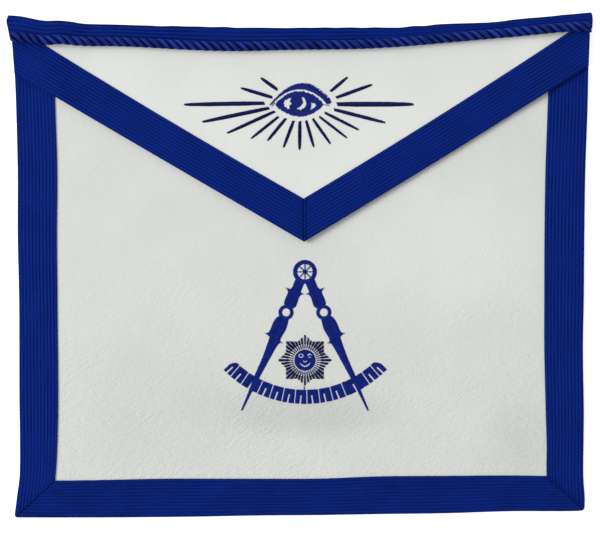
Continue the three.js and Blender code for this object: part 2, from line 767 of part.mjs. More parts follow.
const compassTop = flapPoint.y;
const compassRoom = compassTop - bottomInnerY(compassOffset) - compassHeight * (1 + emblem.headRadius);
const head = {
  x: compassOffset,
  y: compassTop - emblem.aboveShare * compassRoom - emblem.headRadius * compassHeight,
};
const headRadius = emblem.headRadius * compassHeight;
const headHole = emblem.headHole * compassHeight;
const hubRadius = emblem.hub * compassHeight;

function headShape() {
  const shape = outline(disc(head, headRadius, 24));
  const sector = (2 * Math.PI) / spokeCount;
  for (let i = 0; i < spokeCount; i += 1) {
    const atHole = spokeWidth / 2 / headHole;
    const atHub = spokeWidth / 2 / hubRadius;
    const from = i * sector;
    shape.holes.push(outline([
      polar(head, hubRadius, from + atHub),
      polar(head, headHole, from + atHole),
      polar(head, headHole, from + sector / 2),
      polar(head, headHole, from + sector - atHole),
      polar(head, hubRadius, from + sector - atHub),
    ]));
  }
  return shape;
}

const quadrantCentre = { x: compassOffset, y: head.y - emblem.quadrantDown * compassHeight };
const quadrantRadius = emblem.quadrantRadius * compassHeight;
const quadrantWidth = emblem.quadrantWidth * compassHeight;
const slotPlace = 0.45;
const slotDepthShare = 0.58;

function blockShape({ from, to }) {
  const half = blockGap / 2 / quadrantRadius;
  const start = radians(from - 90) + half;
  const end = radians(to - 90) - half;
  const inner = quadrantRadius - quadrantWidth;
  const slotHalf = blockSlotWidth / 2 / quadrantRadius;
  const middle = mix(start, end, slotPlace);
  const slotTop = quadrantRadius - quadrantWidth * slotDepthShare;
  return outline([
    polar(quadrantCentre, inner, start),
    polar(quadrantCentre, quadrantRadius, start),
    polar(quadrantCentre, quadrantRadius, middle - slotHalf),
    polar(quadrantCentre, slotTop, middle - slotHalf),
    polar(quadrantCentre, slotTop, middle + slotHalf),
    polar(quadrantCentre, quadrantRadius, middle + slotHalf),
    polar(quadrantCentre, quadrantRadius, end),
    polar(quadrantCentre, inner, end),
    polar(quadrantCentre, inner, (start + end) / 2),
  ]);
}

function legSolid(name) {
  const side = name === 'left' ? -1 : 1;
  const place = ([out, down]) => [head.x + side * out * compassHeight, head.y - down * compassHeight];
  const [kneeX, kneeY] = place(kneePlace);
  const knee = { x: kneeX, y: kneeY };
  const block = quadrantBlocks.find((row) => row.leg === name);
  return toManifold(prism(outline([...legOuter, ...legInner].map(place))))
    .add(toManifold(prism(outline(disc(knee, emblem.kneeRadius * compassHeight, 18)))))
    .add(toManifold(prism(blockShape(block))))
    .subtract(toManifold(prism(outline(disc(knee, emblem.kneeHole * compassHeight, 12)))))
    .subtract(toManifold(prism(outline(disc(head, headRadius + seamGap, 24)))));
}

addPiece('compass_head', layOn(prism(headShape()), panelTop), thread);
addPiece('compass_leg_left', layOn(fromManifold(legSolid('left')), panelTop), thread);
addPiece('compass_leg_right', layOn(fromManifold(legSolid('right')), panelTop), thread);
quadrantBlocks.filter((row) => row.leg === '').forEach((row, i) => {
  const name = `quadrant_block_${String(i + 1).padStart(2, '0')}`;
  addPiece(name, layOn(prism(blockShape(row)), panelTop), thread);
});

// Sun: an eight-pointed star of rays round a plain face

const sun = { x: compassOffset, y: head.y - emblem.sunDown * compassHeight };
const starOutline = Array.from({ length: 2 * starPoints }, (_, i) => {
  const radius = emblem.sunRadius * compassHeight * (i % 2 === 0 ? 1 : starValleyShare);
  return polar(sun, radius, (Math.PI * i) / starPoints);
});
const star = outline(starOutline);
star.holes.push(outline(disc(sun, emblem.sunRing * compassHeight, 20)));
addPiece('sun_rays', layOn(prism(star), panelTop), thread);
addPiece('sun_face', layOn(prism(outline(disc(sun, emblem.sunFace * compassHeight, 20))), panelTop), thread);

export default apron;
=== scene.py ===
"""A white leather apron edged with ribbed blue ribbon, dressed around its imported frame."""

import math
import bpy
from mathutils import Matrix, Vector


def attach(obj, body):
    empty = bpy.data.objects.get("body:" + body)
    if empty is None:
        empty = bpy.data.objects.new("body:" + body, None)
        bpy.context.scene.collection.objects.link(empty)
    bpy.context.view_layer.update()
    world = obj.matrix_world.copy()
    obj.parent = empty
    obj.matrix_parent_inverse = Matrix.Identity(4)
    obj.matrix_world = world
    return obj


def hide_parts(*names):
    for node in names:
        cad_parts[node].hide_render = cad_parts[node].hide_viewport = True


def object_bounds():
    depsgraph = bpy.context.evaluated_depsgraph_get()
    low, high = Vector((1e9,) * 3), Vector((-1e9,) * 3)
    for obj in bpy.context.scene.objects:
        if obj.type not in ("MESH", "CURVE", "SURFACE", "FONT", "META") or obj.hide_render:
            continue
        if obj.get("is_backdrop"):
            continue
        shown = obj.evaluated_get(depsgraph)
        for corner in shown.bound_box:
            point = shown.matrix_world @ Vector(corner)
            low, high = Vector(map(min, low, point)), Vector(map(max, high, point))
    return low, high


bl_info = {
    "name": "Embroidered leather apron",
    "version": (1, 0, 0),
    "blender": (4, 5, 0),
    "location": "3D View > Sidebar > Apron",
    "description": "Leather, ribbed ribbon, twisted cord and embroidery of an apron lying flat",
    "category": "Object",
}

from functools import partial

import bpy
import numpy as np
from mathutils import Vector
from mathutils.geometry import tessellate_polygon

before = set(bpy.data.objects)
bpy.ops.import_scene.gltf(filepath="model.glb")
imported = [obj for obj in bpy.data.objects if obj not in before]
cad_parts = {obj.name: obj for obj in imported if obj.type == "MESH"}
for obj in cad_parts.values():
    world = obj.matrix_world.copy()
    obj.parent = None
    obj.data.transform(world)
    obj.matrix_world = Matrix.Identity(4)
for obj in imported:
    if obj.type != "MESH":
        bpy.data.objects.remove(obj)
cad_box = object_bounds()
cad_size = cad_box[1] - cad_box[0]
MM = 0.001
SHARP = math.radians(50)

# Places and shares that the solids have too. The side edges read down from the top, the others from the left.
# inset is how far an edge lies in from the overall box, as a share of its width or height, and ribbon is how
# wide the ribbon shows, as a share of its width.


def columns(names, rows):
    """A table as one array for each named column."""
    return {name: np.array(column, float) for name, column in zip(names, zip(*rows))}


LEFT_EDGE = columns(("down", "inset", "ribbon"), [
    (0.06, 0.0095, 1.00), (0.126, 0.0137, 1.00), (0.19, 0.0160, 1.00), (0.316, 0.0186, 1.01),
    (0.443, 0.0187, 1.00), (0.57, 0.0210, 0.98), (0.76, 0.0215, 0.99), (0.854, 0.0225, 0.955),
    (0.917, 0.0219, 0.918), (0.955, 0.0178, 0.90), (0.994, 0.0135, 0.88),
])
RIGHT_EDGE = columns(("down", "inset", "ribbon"), [
    (0.05, 0.0049, 1.00), (0.095, 0.0065, 1.00), (0.19, 0.0082, 1.02), (0.316, 0.0120, 1.02),
    (0.443, 0.0136, 1.02), (0.57, 0.0146, 1.01), (0.664, 0.0160, 0.99), (0.79, 0.0145, 0.975),
    (0.854, 0.0150, 0.945), (0.917, 0.0153, 0.94), (0.965, 0.0128, 0.92), (0.99, 0.0140, 0.90),
])
BOTTOM_EDGE = columns(("across", "inset", "ribbon"), [
    (0, 0.0002, 0.93), (0.15, 0.0002, 0.955), (0.26, 0.0010, 0.98), (0.33, 0.0020, 0.97),
    (0.43, 0.0041, 0.94), (0.535, 0.0050, 0.933), (0.64, 0.0070, 0.965), (0.75, 0.0086, 0.955),
    (0.86, 0.0125, 0.915), (0.97, 0.0128, 0.895), (1, 0.0160, 0.89),
])

# cord is how far below the top edge the cord's middle runs, as a share of the band's width, and girth is the
# cord's thickness, as a share of its diameter.
TOP_EDGE = columns(("across", "inset", "cord", "girth"), [
    (0, 0.0060, 1.15, 0.94), (0.025, 0.0085, 1.12, 1.00), (0.065, 0.0172, 1.06, 1.02),
    (0.092, 0.0167, 1.02, 1.02), (0.125, 0.0215, 0.98, 1.02), (0.20, 0.0250, 0.92, 1.00),
    (0.33, 0.0286, 1.03, 1.02), (0.40, 0.0298, 1.04, 1.02), (0.47, 0.0303, 0.97, 1.00),
    (0.60, 0.0300, 0.92, 0.99), (0.67, 0.0293, 0.82, 0.99), (0.74, 0.0240, 0.78, 0.97),
    (0.81, 0.0205, 0.68, 0.97), (0.88, 0.0134, 0.68, 0.99), (0.94, 0.0068, 0.68, 0.98),
    (1, 0.0003, 0.75, 0.98),
])

# Ends of the band, from its top edge to the cord: how far in they lie, as shares of the band's width
BAND_ENDS = columns(("across", "left", "right"), [
    (0, 0.11, 0.08), (0.25, 0.01, 0.03), (0.6, 0.08, 0.01), (1, 0.19, 0.03),
])

# Sloping edges of the flap: where the lower edge leaves the side, the ribbon's extra width there, and how far
# each edge sags, as shares of the ribbon's width
FLAP_SIDES = {
    "left": {"shoulder": 0.120, "flare": 0.055, "lower_bow": 0.01, "upper_bow": 0.055},
    "right": {"shoulder": 0.106, "flare": 0.035, "lower_bow": 0.04, "upper_bow": 0.07},
}

# Soft swellings of the leather: places and half lengths as shares of the whole, rises as shares of its
# thickness
PANEL_SWELLS = columns(("across", "down", "half_width", "half_height", "rise"), [
    (0.49, 0.66, 0.26, 0.19, 1.2), (0.55, 0.77, 0.16, 0.075, 0.4), (0.83, 0.84, 0.11, 0.085, 0.55),
    (0.17, 0.85, 0.10, 0.08, 0.35),
])
FLAP_SWELLS = columns(("across", "down", "half_width", "half_height", "rise"), [
    (0.215, 0.112, 0.10, 0.085, 0.55), (0.785, 0.100, 0.10, 0.085, 0.5),
])

# Painted shading of the body's leather: places and half lengths as before, and how much darker it is painted
# there; painted shade below the swellings and toward the lower corners, painted light where the rise is below 0
PANEL_PAINTED_SHADING = columns(("across", "down", "half_width", "half_height", "rise"), [
    (0.515, 0.79, 0.22, 0.075, 1.4), (0.87, 0.86, 0.10, 0.12, 0.7), (0.27, 0.78, 0.24, 0.20, 0.7),
    (0.76, 0.46, 0.26, 0.22, -0.8),
])

# Rays of the eye: directions in degrees and reaches as shares of the longest, at the inner and the outer end
EYE_RAYS = [
    (147.5, 0.235, 146.4, 0.404, 1.2), (166.5, 0.249, 164.9, 0.527, 1.2), (178.6, 0.311, 180.3, 1.000, 1.45),
    (187.5, 0.273, 190.4, 0.856, 1.35), (196.2, 0.230, 201.8, 0.676, 1.15), (210.4, 0.219, 215.2, 0.516, 1.0),
    (225.4, 0.177, 228.5, 0.421, 1.1), (249.0, 0.157, 249.2, 0.400, 1.1), (269.3, 0.152, 269.5, 0.393, 1.2),
    (290.0, 0.154, 287.8, 0.387, 1.05), (310.7, 0.170, 307.4, 0.431, 1.0), (326.9, 0.202, 324.2, 0.499, 0.9),
    (340.7, 0.228, 336.3, 0.552, 1.0), (350.7, 0.301, 347.7, 0.750, 1.25), (359.7, 0.323, 359.9, 0.978, 1.7),
    (10.1, 0.320, 15.1, 0.644, 1.2), (22.5, 0.287, 29.5, 0.469, 1.1),
]
RAY_SIDES = ((0, 0.85), (0.25, 1.1), (0.7, 1.05), (0.94, 0.75), (1, 0.45))

# The eye's width as a share of its rays' reach, its middle below the top edge as a share of the flap's depth,
# and its middle right of the apron's, in millimetres
EYE_WIDTH, EYE_DOWN, EYE_OFFSET = 0.441, 0.357, 0.3

# Outlines of the eye, right and up from its middle, as shares of its width
LID_TOP = [(-0.58, 0.0), (-0.43, 0.17), (-0.27, 0.31), (-0.09, 0.395), (0.10, 0.41), (0.29, 0.34),
           (0.45, 0.21), (0.56, 0.09), (0.60, 0.02)]
LID_UNDER = [(-0.56, -0.01), (-0.42, 0.13), (-0.25, 0.245), (-0.08, 0.29), (0.10, 0.285), (0.27, 0.22),
             (0.42, 0.12), (0.53, 0.00)]
IRIS = [(-0.52, -0.02), (-0.36, 0.125), (-0.20, 0.225), (-0.03, 0.26), (0.14, 0.24), (0.30, 0.155),
        (0.49, -0.01), (0.34, -0.13), (0.20, -0.21), (0.02, -0.25), (-0.15, -0.235), (-0.32, -0.15)]
EYE_CORNERS = [(-0.60, -0.03), (-0.50, 0.10), (-0.56, -0.05), (-0.49, 0.03), (0.46, -0.01), (0.58, -0.03)]
EYE_WHITES = [
    [(-0.34, 0.03), (-0.26, 0.10), (-0.16, 0.13), (-0.21, 0.05), (-0.15, 0.01), (-0.22, -0.02),
     (-0.19, -0.12), (-0.29, -0.07)],
    [(0.03, 0.15), (0.09, 0.11), (0.13, 0.04), (0.10, -0.06), (0.005, -0.125), (-0.09, -0.085), (0.0, -0.055),
     (0.045, -0.01), (0.06, 0.05), (0.03, 0.10)],
    [(0.19, 0.06), (0.36, -0.03), (0.17, -0.135), (0.235, -0.04)],
]

# A leg of the compasses: out from the middle line and down from the head's middle, as shares of their height
LEG_OUTER = [(0.068, 0.050), (0.098, 0.128), (0.132, 0.114), (0.117, 0.140), (0.145, 0.200), (0.152, 0.228),
             (0.144, 0.242), (0.156, 0.300), (0.188, 0.318), (0.211, 0.334), (0.230, 0.366), (0.246, 0.407),
             (0.258, 0.434), (0.281, 0.443), (0.260, 0.463), (0.253, 0.465), (0.270, 0.517), (0.312, 0.633),
             (0.365, 0.750), (0.402, 0.852), (0.460, 0.996)]
LEG_INNER = [(0.450, 1.000), (0.382, 0.865), (0.326, 0.759), (0.266, 0.650), (0.196, 0.522), (0.170, 0.508),
             (0.180, 0.491), (0.163, 0.460), (0.137, 0.418), (0.124, 0.377), (0.118, 0.345), (0.092, 0.266),
             (0.066, 0.253), (0.056, 0.228), (0.047, 0.195), (0.033, 0.168), (0.011, 0.160), (0.033, 0.150),
             (0.014, 0.106), (0.004, 0.083)]
KNEE = (0.136, 0.292)
THORNS = [
    [(0.104, 0.143), (0.118, 0.134), (0.128, 0.124), (0.139, 0.113)],
    [(0.108, 0.150), (0.119, 0.140), (0.130, 0.122)],
    [(0.046, 0.162), (0.026, 0.157), (0.005, 0.160)],
    [(0.250, 0.452), (0.268, 0.450), (0.288, 0.440)],
    [(0.186, 0.500), (0.174, 0.508), (0.163, 0.515)],
]

# Other parts of the emblem, as shares of the compasses' height
EMBLEM = {
    "above": 0.21, "head": 0.0857, "head_hole": 0.0555, "hub": 0.016, "knee": 0.0545, "knee_hole": 0.029,
    "quadrant": 0.8215, "quadrant_width": 0.101, "quadrant_down": 0.1285, "sun": 0.1905, "sun_down": 0.636,
    "sun_ring": 0.0825, "sun_face": 0.0762,
}

# Blocks of the quadrant, by their ends' directions in degrees from straight down
QUADRANT_BLOCKS = [
    (-45.6, -40.7), (-40.7, -34.1), (-34.1, -24.8), (-24.8, -18.3), (-18.3, -11.8), (-11.8, -5.3),
    (-5.3, 1.0), (1.0, 7.6), (7.6, 14.3), (14.3, 21.2), (21.2, 34.5), (34.5, 40.7), (40.7, 46.1),
]

SUN_RAYS = 40

# Half lengths, in millimetres, of the gap between blocks and of a block's slot, and the slot's lean
BLOCK_GAP, BLOCK_SLOT, SLOT_LEAN = 0.4, 0.58, 0.5

# The two blocks that the legs cross
LEG_BLOCKS = (2, 10)

# Places on the sun's face that stay bare, right and up from its middle, as shares of its radius
FACE_BARE = [
    [(0.18, 0.42), (0.30, 0.60), (0.46, 0.66), (0.70, 0.46), (0.60, 0.44), (0.46, 0.53), (0.32, 0.44)],
    [(0.20, 0.33), (0.34, 0.24), (0.52, 0.22), (0.68, 0.33), (0.50, 0.31), (0.36, 0.33)],
    [(-0.20, 0.06), (-0.17, -0.16), (-0.06, -0.21), (0.06, -0.21), (0.18, -0.14), (0.20, 0.05), (0.11, -0.08),
     (0.0, -0.12), (-0.12, -0.09)],
    [(-0.55, -0.17), (-0.40, -0.45), (-0.18, -0.61), (0.02, -0.65), (0.23, -0.59), (0.43, -0.43),
     (0.55, -0.16), (0.36, -0.34), (0.18, -0.46), (0.0, -0.52), (-0.18, -0.47), (-0.36, -0.35)],
]


def read(table, key, column, at):
    """Smooth value of one column at places along another, by a cubic through each pair of rows."""
    keys, values = table[key], table[column]
    last = len(keys) - 1
    i = np.clip(np.searchsorted(keys, at) - 1, 0, last - 1)
    before = np.maximum(np.arange(last + 1) - 1, 0)
    after = np.minimum(np.arange(last + 1) + 1, last)
    slope = (values[after] - values[before]) / (keys[after] - keys[before])
    run = keys[i + 1] - keys[i]
    rise = values[i + 1] - values[i]
    t = np.clip((at - keys[i]) / run, 0, 1)
    a = slope[i] * run - rise
    b = rise - slope[i + 1] * run
    return values[i] + rise * t + t * (1 - t) * (a * (1 - t) + b * t)


def mix(a, b, t):
    return a + (b - a) * t


def ease(t):
    """0 to 1 with level ends."""
    t = np.clip(t, 0, 1)
    return t * t * (3 - 2 * t)


def cloudy(x, y, pitch, seed):
    """Smooth random values from -1 to 1 with a given pitch."""
    grid = np.random.default_rng(seed).uniform(-1, 1, (128, 128))
    u, v = np.asarray(x / pitch), np.asarray(y / pitch)
    i, j = np.floor(u).astype(int), np.floor(v).astype(int)
    fu, fv = ease(u - i), ease(v - j)
    corner = lambda a, b: grid[(i + a) % 128, (j + b) % 128]
    return mix(mix(corner(0, 0), corner(1, 0), fu), mix(corner(0, 1), corner(1, 1), fu), fv)


class Plan:
    """Edges, layers and heights of the lying apron, in millimetres.

    under_cord is how far the band runs on under the cord, and point_seam is how long the seam at the flap's
    point is, as a share of the ribbon's upright width.
    """

    seam = 0.35
    mitre_gap = 0.01
    corner = 2.0
    under_cord = 1.3
    drape_margin = 2.0
    drape_run = 30.0
    point_seam = 0.945

    def __init__(self, sizes):
        self.wide = sizes.overall_width / MM
        self.tall = sizes.overall_height / MM
        self.leather = sizes.leather_thickness / MM
        self.ribbon = sizes.ribbon_thickness / MM
        self.ribbon_width = sizes.ribbon_width / MM
        self.band_width = sizes.band_width / MM
        self.band_back = sizes.band_back / MM
        self.fold = sizes.fold_radius / MM
        self.lift = sizes.flap_lift / MM
        self.relief = sizes.leather_relief / MM
        self.hem = self.ribbon + self.seam
        self.top_hem = self.hem + self.seam
        self.middle_top = float(self.top(0.0))
        self.point = np.array((sizes.flap_point_offset / MM, self.middle_top - sizes.flap_depth / MM))
        self.sides = {name: self.flap_side(name) for name in FLAP_SIDES}

    def down(self, y):
        return 0.5 - y / self.tall

    def across(self, x):
        return 0.5 + x / self.wide

    def left(self, y):
        return (read(LEFT_EDGE, "down", "inset", self.down(y)) - 0.5) * self.wide

    def right(self, y):
        return (0.5 - read(RIGHT_EDGE, "down", "inset", self.down(y))) * self.wide

    def bottom(self, x):
        return (read(BOTTOM_EDGE, "across", "inset", self.across(x)) - 0.5) * self.tall

    def top(self, x):
        return (0.5 - read(TOP_EDGE, "across", "inset", self.across(x))) * self.tall

    def left_inner(self, y):
        return self.left(y) + self.ribbon_width * read(LEFT_EDGE, "down", "ribbon", self.down(y))

    def right_inner(self, y):
        return self.right(y) - self.ribbon_width * read(RIGHT_EDGE, "down", "ribbon", self.down(y))

    def bottom_inner(self, x):
        return self.bottom(x) + self.ribbon_width * read(BOTTOM_EDGE, "across", "ribbon", self.across(x))

    def flap_side(self, name):
        """Facts of one sloping side of the flap."""
        row = dict(FLAP_SIDES[name])
        row["y"] = (0.5 - row["shoulder"]) * self.tall
        row["edge"] = self.left if name == "left" else self.right
        run = abs(float(row["edge"](row["y"])) - self.point[0])
        row["slope"] = math.atan2(row["y"] - self.point[1], run)
        row["upright"] = self.ribbon_width / math.cos(row["slope"])
        return row

    def flap_place(self, side, t, s):
        """A place on a sloping side: t across the ribbon from its lower edge, s from the shoulder down."""
        shoulder_y = side["y"] + t * side["upright"] * (1 + side["flare"])
        shoulder_x = side["edge"](shoulder_y)
        point_y = self.point[1] + t * side["upright"] * self.point_seam
        bow = mix(side["lower_bow"], side["upper_bow"], t) * self.ribbon_width * 4 * s * (1 - s)
        return mix(shoulder_x, self.point[0], s), mix(shoulder_y, point_y, s) - bow

    def flap_edge(self, x):
        """Lower edge of the flap's leather at x."""
        heights = []
        for side in (self.sides["left"], self.sides["right"]):
            outer = float(side["edge"](side["y"]))
            s = np.clip((x - outer) / (self.point[0] - outer), 0, 1)
            heights.append(self.flap_place(side, 0.0, s)[1] + self.hem / math.cos(side["slope"]))
        return np.where(x < self.point[0], heights[0], heights[1])

    def patches(self, table, x, y):
        """Sum of soft patches, each as high as its rise."""
        height = 0.0
        rows = zip(*(table[name] for name in ("across", "down", "half_width", "half_height", "rise")))
        for across, down, half_width, half_height, rise in rows:
            u = (self.across(x) - across) / half_width
            v = (self.down(y) - down) / half_height
            height = height + rise * np.maximum(0, 1 - u * u - v * v) ** 2
        return height

    def swelling(self, table, x, y):
        return self.leather * self.patches(table, x, y)

    def body_tone(self, x, y):
        """How light the body's leather is painted, from 0 to 1, by its painted shade and painted light."""
        return 0.5 - 0.4 * self.patches(PANEL_PAINTED_SHADING, x, y)

    def flap_tone(self, x, y):
        return 0.95 - 0.1 * ease((y - self.flap_edge(x)) / 90)

    def drape(self, distance, reach):
        """1 within reach of an edge, easing to 0 past it."""
        return 1 - ease((distance - reach - self.drape_margin) / self.drape_run)

    def over_sides(self, x, y):
        """1 where a side ribbon lies below."""
        return self.drape(np.minimum(x - self.left(y), self.right(y) - x), self.ribbon_width)

    def panel_relief(self, x, y):
        """Shallow random waves of the lying leather, level along its edges."""
        edge = np.minimum.reduce([x - self.left(y), self.right(y) - x, y - self.bottom(x), self.top(x) - y])
        waves = 0.6 * cloudy(x, y, 46, 3) + 0.3 * cloudy(x, y, 21, 5) + 0.12 * cloudy(x, y, 9, 8)
        return self.relief * (1 + waves) * ease((edge - 3) / 32)

    def panel_under(self, x, y):
        over_band = self.drape(self.top(x) - y, self.band_back)
        return self.hem * over_band + self.swelling(PANEL_SWELLS, x, y) + self.panel_relief(x, y)

    def panel_top(self, x, y):
        return self.panel_under(x, y) + self.leather

    def side_ribbon_under(self, x, y):
        return self.panel_top(x, y) + self.seam

    def flap_under(self, x, y):
        middle = np.maximum(0, 1 - abs(x - self.point[0]) / (self.wide / 2))
        above = np.maximum(0, y - self.flap_edge(x))
        lift = self.lift * middle * (1 - ease(above / 60))
        swell = self.swelling(FLAP_SWELLS, x, y)
        return self.side_ribbon_under(x, y) + self.hem * self.over_sides(x, y) + lift + swell

    def flap_top(self, x, y):
        return self.flap_under(x, y) + self.leather

    def flap_ribbon_under(self, x, y):
        return self.flap_top(x, y) + self.seam

    def band_under(self, x, y):
        return self.flap_ribbon_under(x, y) + self.hem * self.over_sides(x, y)

    def cord_down(self, x):
        return self.band_width * read(TOP_EDGE, "across", "cord", self.across(x))

    def panel_place(self, u, v):
        """A place on the body's leather: u across from the left edge, v down from the top edge."""
        x = mix(self.left(0.0), self.right(0.0), u)
        for _ in range(5):
            y = mix(self.top(x) - self.top_hem, self.bottom(x) + self.hem, v)
            x = mix(self.left(y) + self.hem, self.right(y) - self.hem, u)
        return x, y

    def flap_panel_place(self, u, v):
        """A place on the flap's leather: u is 0.5 over the point."""
        low, high = self.left(self.point[1]), self.right(self.point[1])
        middle = (self.point[0] - low) / (high - low)
        share = np.where(u < 0.5, u * 2 * middle, mix(middle, 1, (u - 0.5) * 2))
        x = mix(self.left(0.0), self.right(0.0), share)
        for _ in range(5):
            y = mix(self.top(x) - self.top_hem, self.flap_edge(x), v)
            x = mix(self.left(y) + self.hem, self.right(y) - self.hem, share)
        return x, y

    def meeting(self, upright, level):
        """Where an upright edge meets a level one."""
        x, y = 0.0, 0.0
        for _ in range(7):
            y = float(level(x))
            x = float(upright(y))
        return np.array((x, y))

    def edges(self, name):
        """Outer and inner edge of a side ribbon."""
        return (self.left, self.left_inner) if name == "left" else (self.right, self.right_inner)

    def mitre(self, name):
        """Outer and inner ends of the seam at a bottom corner, and the outer end before it is rounded."""
        outer, inner = self.edges(name)
        square = self.meeting(outer, self.bottom)
        cut = self.corner * (1 - math.sqrt(0.5))
        tip = square + np.array((cut if name == "left" else -cut, cut))
        return tip, self.meeting(inner, self.bottom_inner), square

    def rounding(self, distance, t):
        """How far the outer edge draws in at a distance from a bottom corner, fading across the ribbon."""
        short = np.clip(self.corner - distance, 0, self.corner * 0.999)
        inward = self.corner - np.sqrt(self.corner ** 2 - short ** 2)
        return inward * np.clip(1 - t * self.ribbon_width / (2 * self.corner), 0, 1)

    def side_ribbon_place(self, name):
        outer, inner = self.edges(name)
        corner = self.mitre(name)
        inward = 1 if name == "left" else -1

        def across(t, y):
            return mix(outer(y), inner(y), t) + inward * self.rounding(y - corner[2][1], t)

        def place(t, s):
            end_x = mix(corner[0][0], corner[1][0], t)
            end_y = mix(corner[0][1], corner[1][1], t) + self.mitre_gap * math.sqrt(0.5)
            y = mix(self.top(end_x) - self.top_hem, end_y, s)
            return across(t, y) + (end_x - across(t, end_y)) * s ** 6, y

        return place

    def bottom_ribbon_place(self, t, s):
        left_out, left_in, left_square = self.mitre("left")
        right_out, right_in, right_square = self.mitre("right")
        start_x = mix(left_out[0], left_in[0], t) + self.mitre_gap * math.sqrt(0.5)
        end_x = mix(right_out[0], right_in[0], t) - self.mitre_gap * math.sqrt(0.5)

        def up(x):
            drawn = self.rounding(x - left_square[0], t) + self.rounding(right_square[0] - x, t)
            return mix(self.bottom(x), self.bottom_inner(x), t) + drawn

        x = mix(start_x, end_x, s)
        start_y, end_y = mix(left_out[1], left_in[1], t), mix(right_out[1], right_in[1], t)
        return x, up(x) + (start_y - up(start_x)) * (1 - s) ** 6 + (end_y - up(end_x)) * s ** 6

    def flap_ribbon_place(self, name):
        side = self.sides[name]
        away = -self.mitre_gap / 2 if name == "left" else self.mitre_gap / 2

        def place(t, s):
            x, y = self.flap_place(side, t, s)
            return x + np.where(s >= 1, away, 0.0), y

        return place


# Building meshes


def linear(code):
    """Linear colour of an sRGB hex value."""
    parts = [int(code[i:i + 2], 16) / 255 for i in (1, 3, 5)]
    return tuple(p / 12.92 if p <= 0.04045 else ((p + 0.055) / 1.055) ** 2.4 for p in parts)


def make_piece(name, points, faces, materials, uv=None, face_material=None):
    """A mesh object from points in millimetres, faces pointing outwards, smooth but for its sharp edges."""
    points = np.asarray(points, float).reshape(-1, 3)
    a = points[[face[0] for face in faces]]
    b = points[[face[1] for face in faces]]
    c = points[[face[2] for face in faces]]
    d = points[[face[-1] for face in faces]]
    volume = (a * np.cross(b, c)).sum() + (a * np.cross(c, d)).sum()
    if volume < 0:
        faces = [face[::-1] for face in faces]
    mesh = bpy.data.meshes.new(name)
    mesh.from_pydata(points * MM, [], faces)
    for material in materials:
        mesh.materials.append(material)
    if face_material is not None:
        mesh.polygons.foreach_set("material_index", face_material)
    if uv is not None:
        corner = np.empty(len(mesh.loops), int)
        mesh.loops.foreach_get("vertex_index", corner)
        layer = mesh.uv_layers.new(name="UVMap")
        layer.data.foreach_set("uv", np.asarray(uv, float).reshape(-1, 2)[corner].ravel())
    mesh.shade_smooth()
    mesh.set_sharp_from_angle(angle=SHARP)
    mesh.update()
    return add_object(name, mesh)


def leather_sheet(name, place, under, tone, thickness, across, down, materials):
    """A leather wall over a grid: grain side above, flesh side below, with its tone and painted shading in an
    attribute.
    """
    u, v = np.meshgrid(across, down)
    x, y = place(u, v)
    z = under(x, y)
    layers = [np.stack((x, y, z + lift), -1) for lift in (0, thickness)]
    tall, wide = u.shape
    layer = wide * tall
    faces, kind = [], []
    for i in range(tall - 1):
        for j in range(wide - 1):
            a = i * wide + j
            faces.append((a, a + 1, a + wide + 1, a + wide))
            faces.append((layer + a, layer + a + wide, layer + a + wide + 1, layer + a + 1))
            kind += [1, 0]
    rim = [*range(wide - 1), *(i * wide + wide - 1 for i in range(tall - 1))]
    rim += [(tall - 1) * wide + j for j in range(wide - 1, 0, -1)]
    rim += [i * wide for i in range(tall - 1, 0, -1)]
    for k, a in enumerate(rim):
        b = rim[(k + 1) % len(rim)]
        faces.append((b, a, layer + a, layer + b))
        kind.append(1)
    piece = make_piece(name, np.stack(layers), faces, materials, face_material=kind)
    set_values(piece.data, "leather_tone", np.tile(tone(x, y).ravel(), 2))
    return piece


def set_values(mesh, name, values, kind="FLOAT"):
    """Stores an attribute, one value for each point."""
    layer = mesh.attributes.new(name, kind, "POINT")
    key = "vector" if kind == "FLOAT_VECTOR" else "value"
    layer.data.foreach_set(key, np.asarray(values, float).ravel())


def add_object(name, data):
    made = bpy.data.objects.new(name, data)
    bpy.context.scene.collection.objects.link(made)
    return made


def wall_strip(name, rings, section, uv, materials):
    """A closed skin through rings of points, with flat ends cut by the section's triangles."""
    stations, count = rings.shape[:2]
    faces = []
    for i in range(stations - 1):
        for j in range(count):
            a, b = i * count + j, i * count + (j + 1) % count
            faces.append((a, b, b + count, a + count))
    end = (stations - 1) * count
    cuts = tessellate_polygon([[Vector((p, q, 0)) for p, q in section]])
    after = [*section[1:], section[0]]
    turned = sum(p0 * q1 - p1 * q0 for (p0, q0), (p1, q1) in zip(section, after)) > 0
    for cut in cuts:
        (p0, q0), (p1, q1), (p2, q2) = (section[k] for k in cut)
        ahead = (p1 - p0) * (q2 - q0) - (p2 - p0) * (q1 - q0) > 0
        start = cut if ahead != turned else cut[::-1]
        faces.append(tuple(start))
        faces.append(tuple(end + k for k in start[::-1]))
    return make_piece(name, rings, faces, materials, uv=uv)


# Node trees

MATH, VECTOR_MATH, MAP_RANGE = "ShaderNodeMath", "ShaderNodeVectorMath", "ShaderNodeMapRange"
NOISE, MAPPING, VALUE = "ShaderNodeTexNoise", "ShaderNodeMapping", "ShaderNodeAttribute"
COMBINE, SEPARATE, PLACE = "ShaderNodeCombineXYZ", "ShaderNodeSeparateXYZ", "GeometryNodeSetPosition"
ATTRIBUTE, STORE = "GeometryNodeInputNamedAttribute", "GeometryNodeStoreNamedAttribute"
ALIGN = "FunctionNodeAlignRotationToVector"
FLOAT = {"data_type": "FLOAT"}

# Values of a strip's points that its ribs, and their painted shade, are pressed from
RIB_VALUES = ("rib_place", "ribbed", "edge")

# Points along a thread and round it, and points round the cord
THREAD_STEPS, THREAD_SIDES, CORD_SIDES = 5, 5, 84


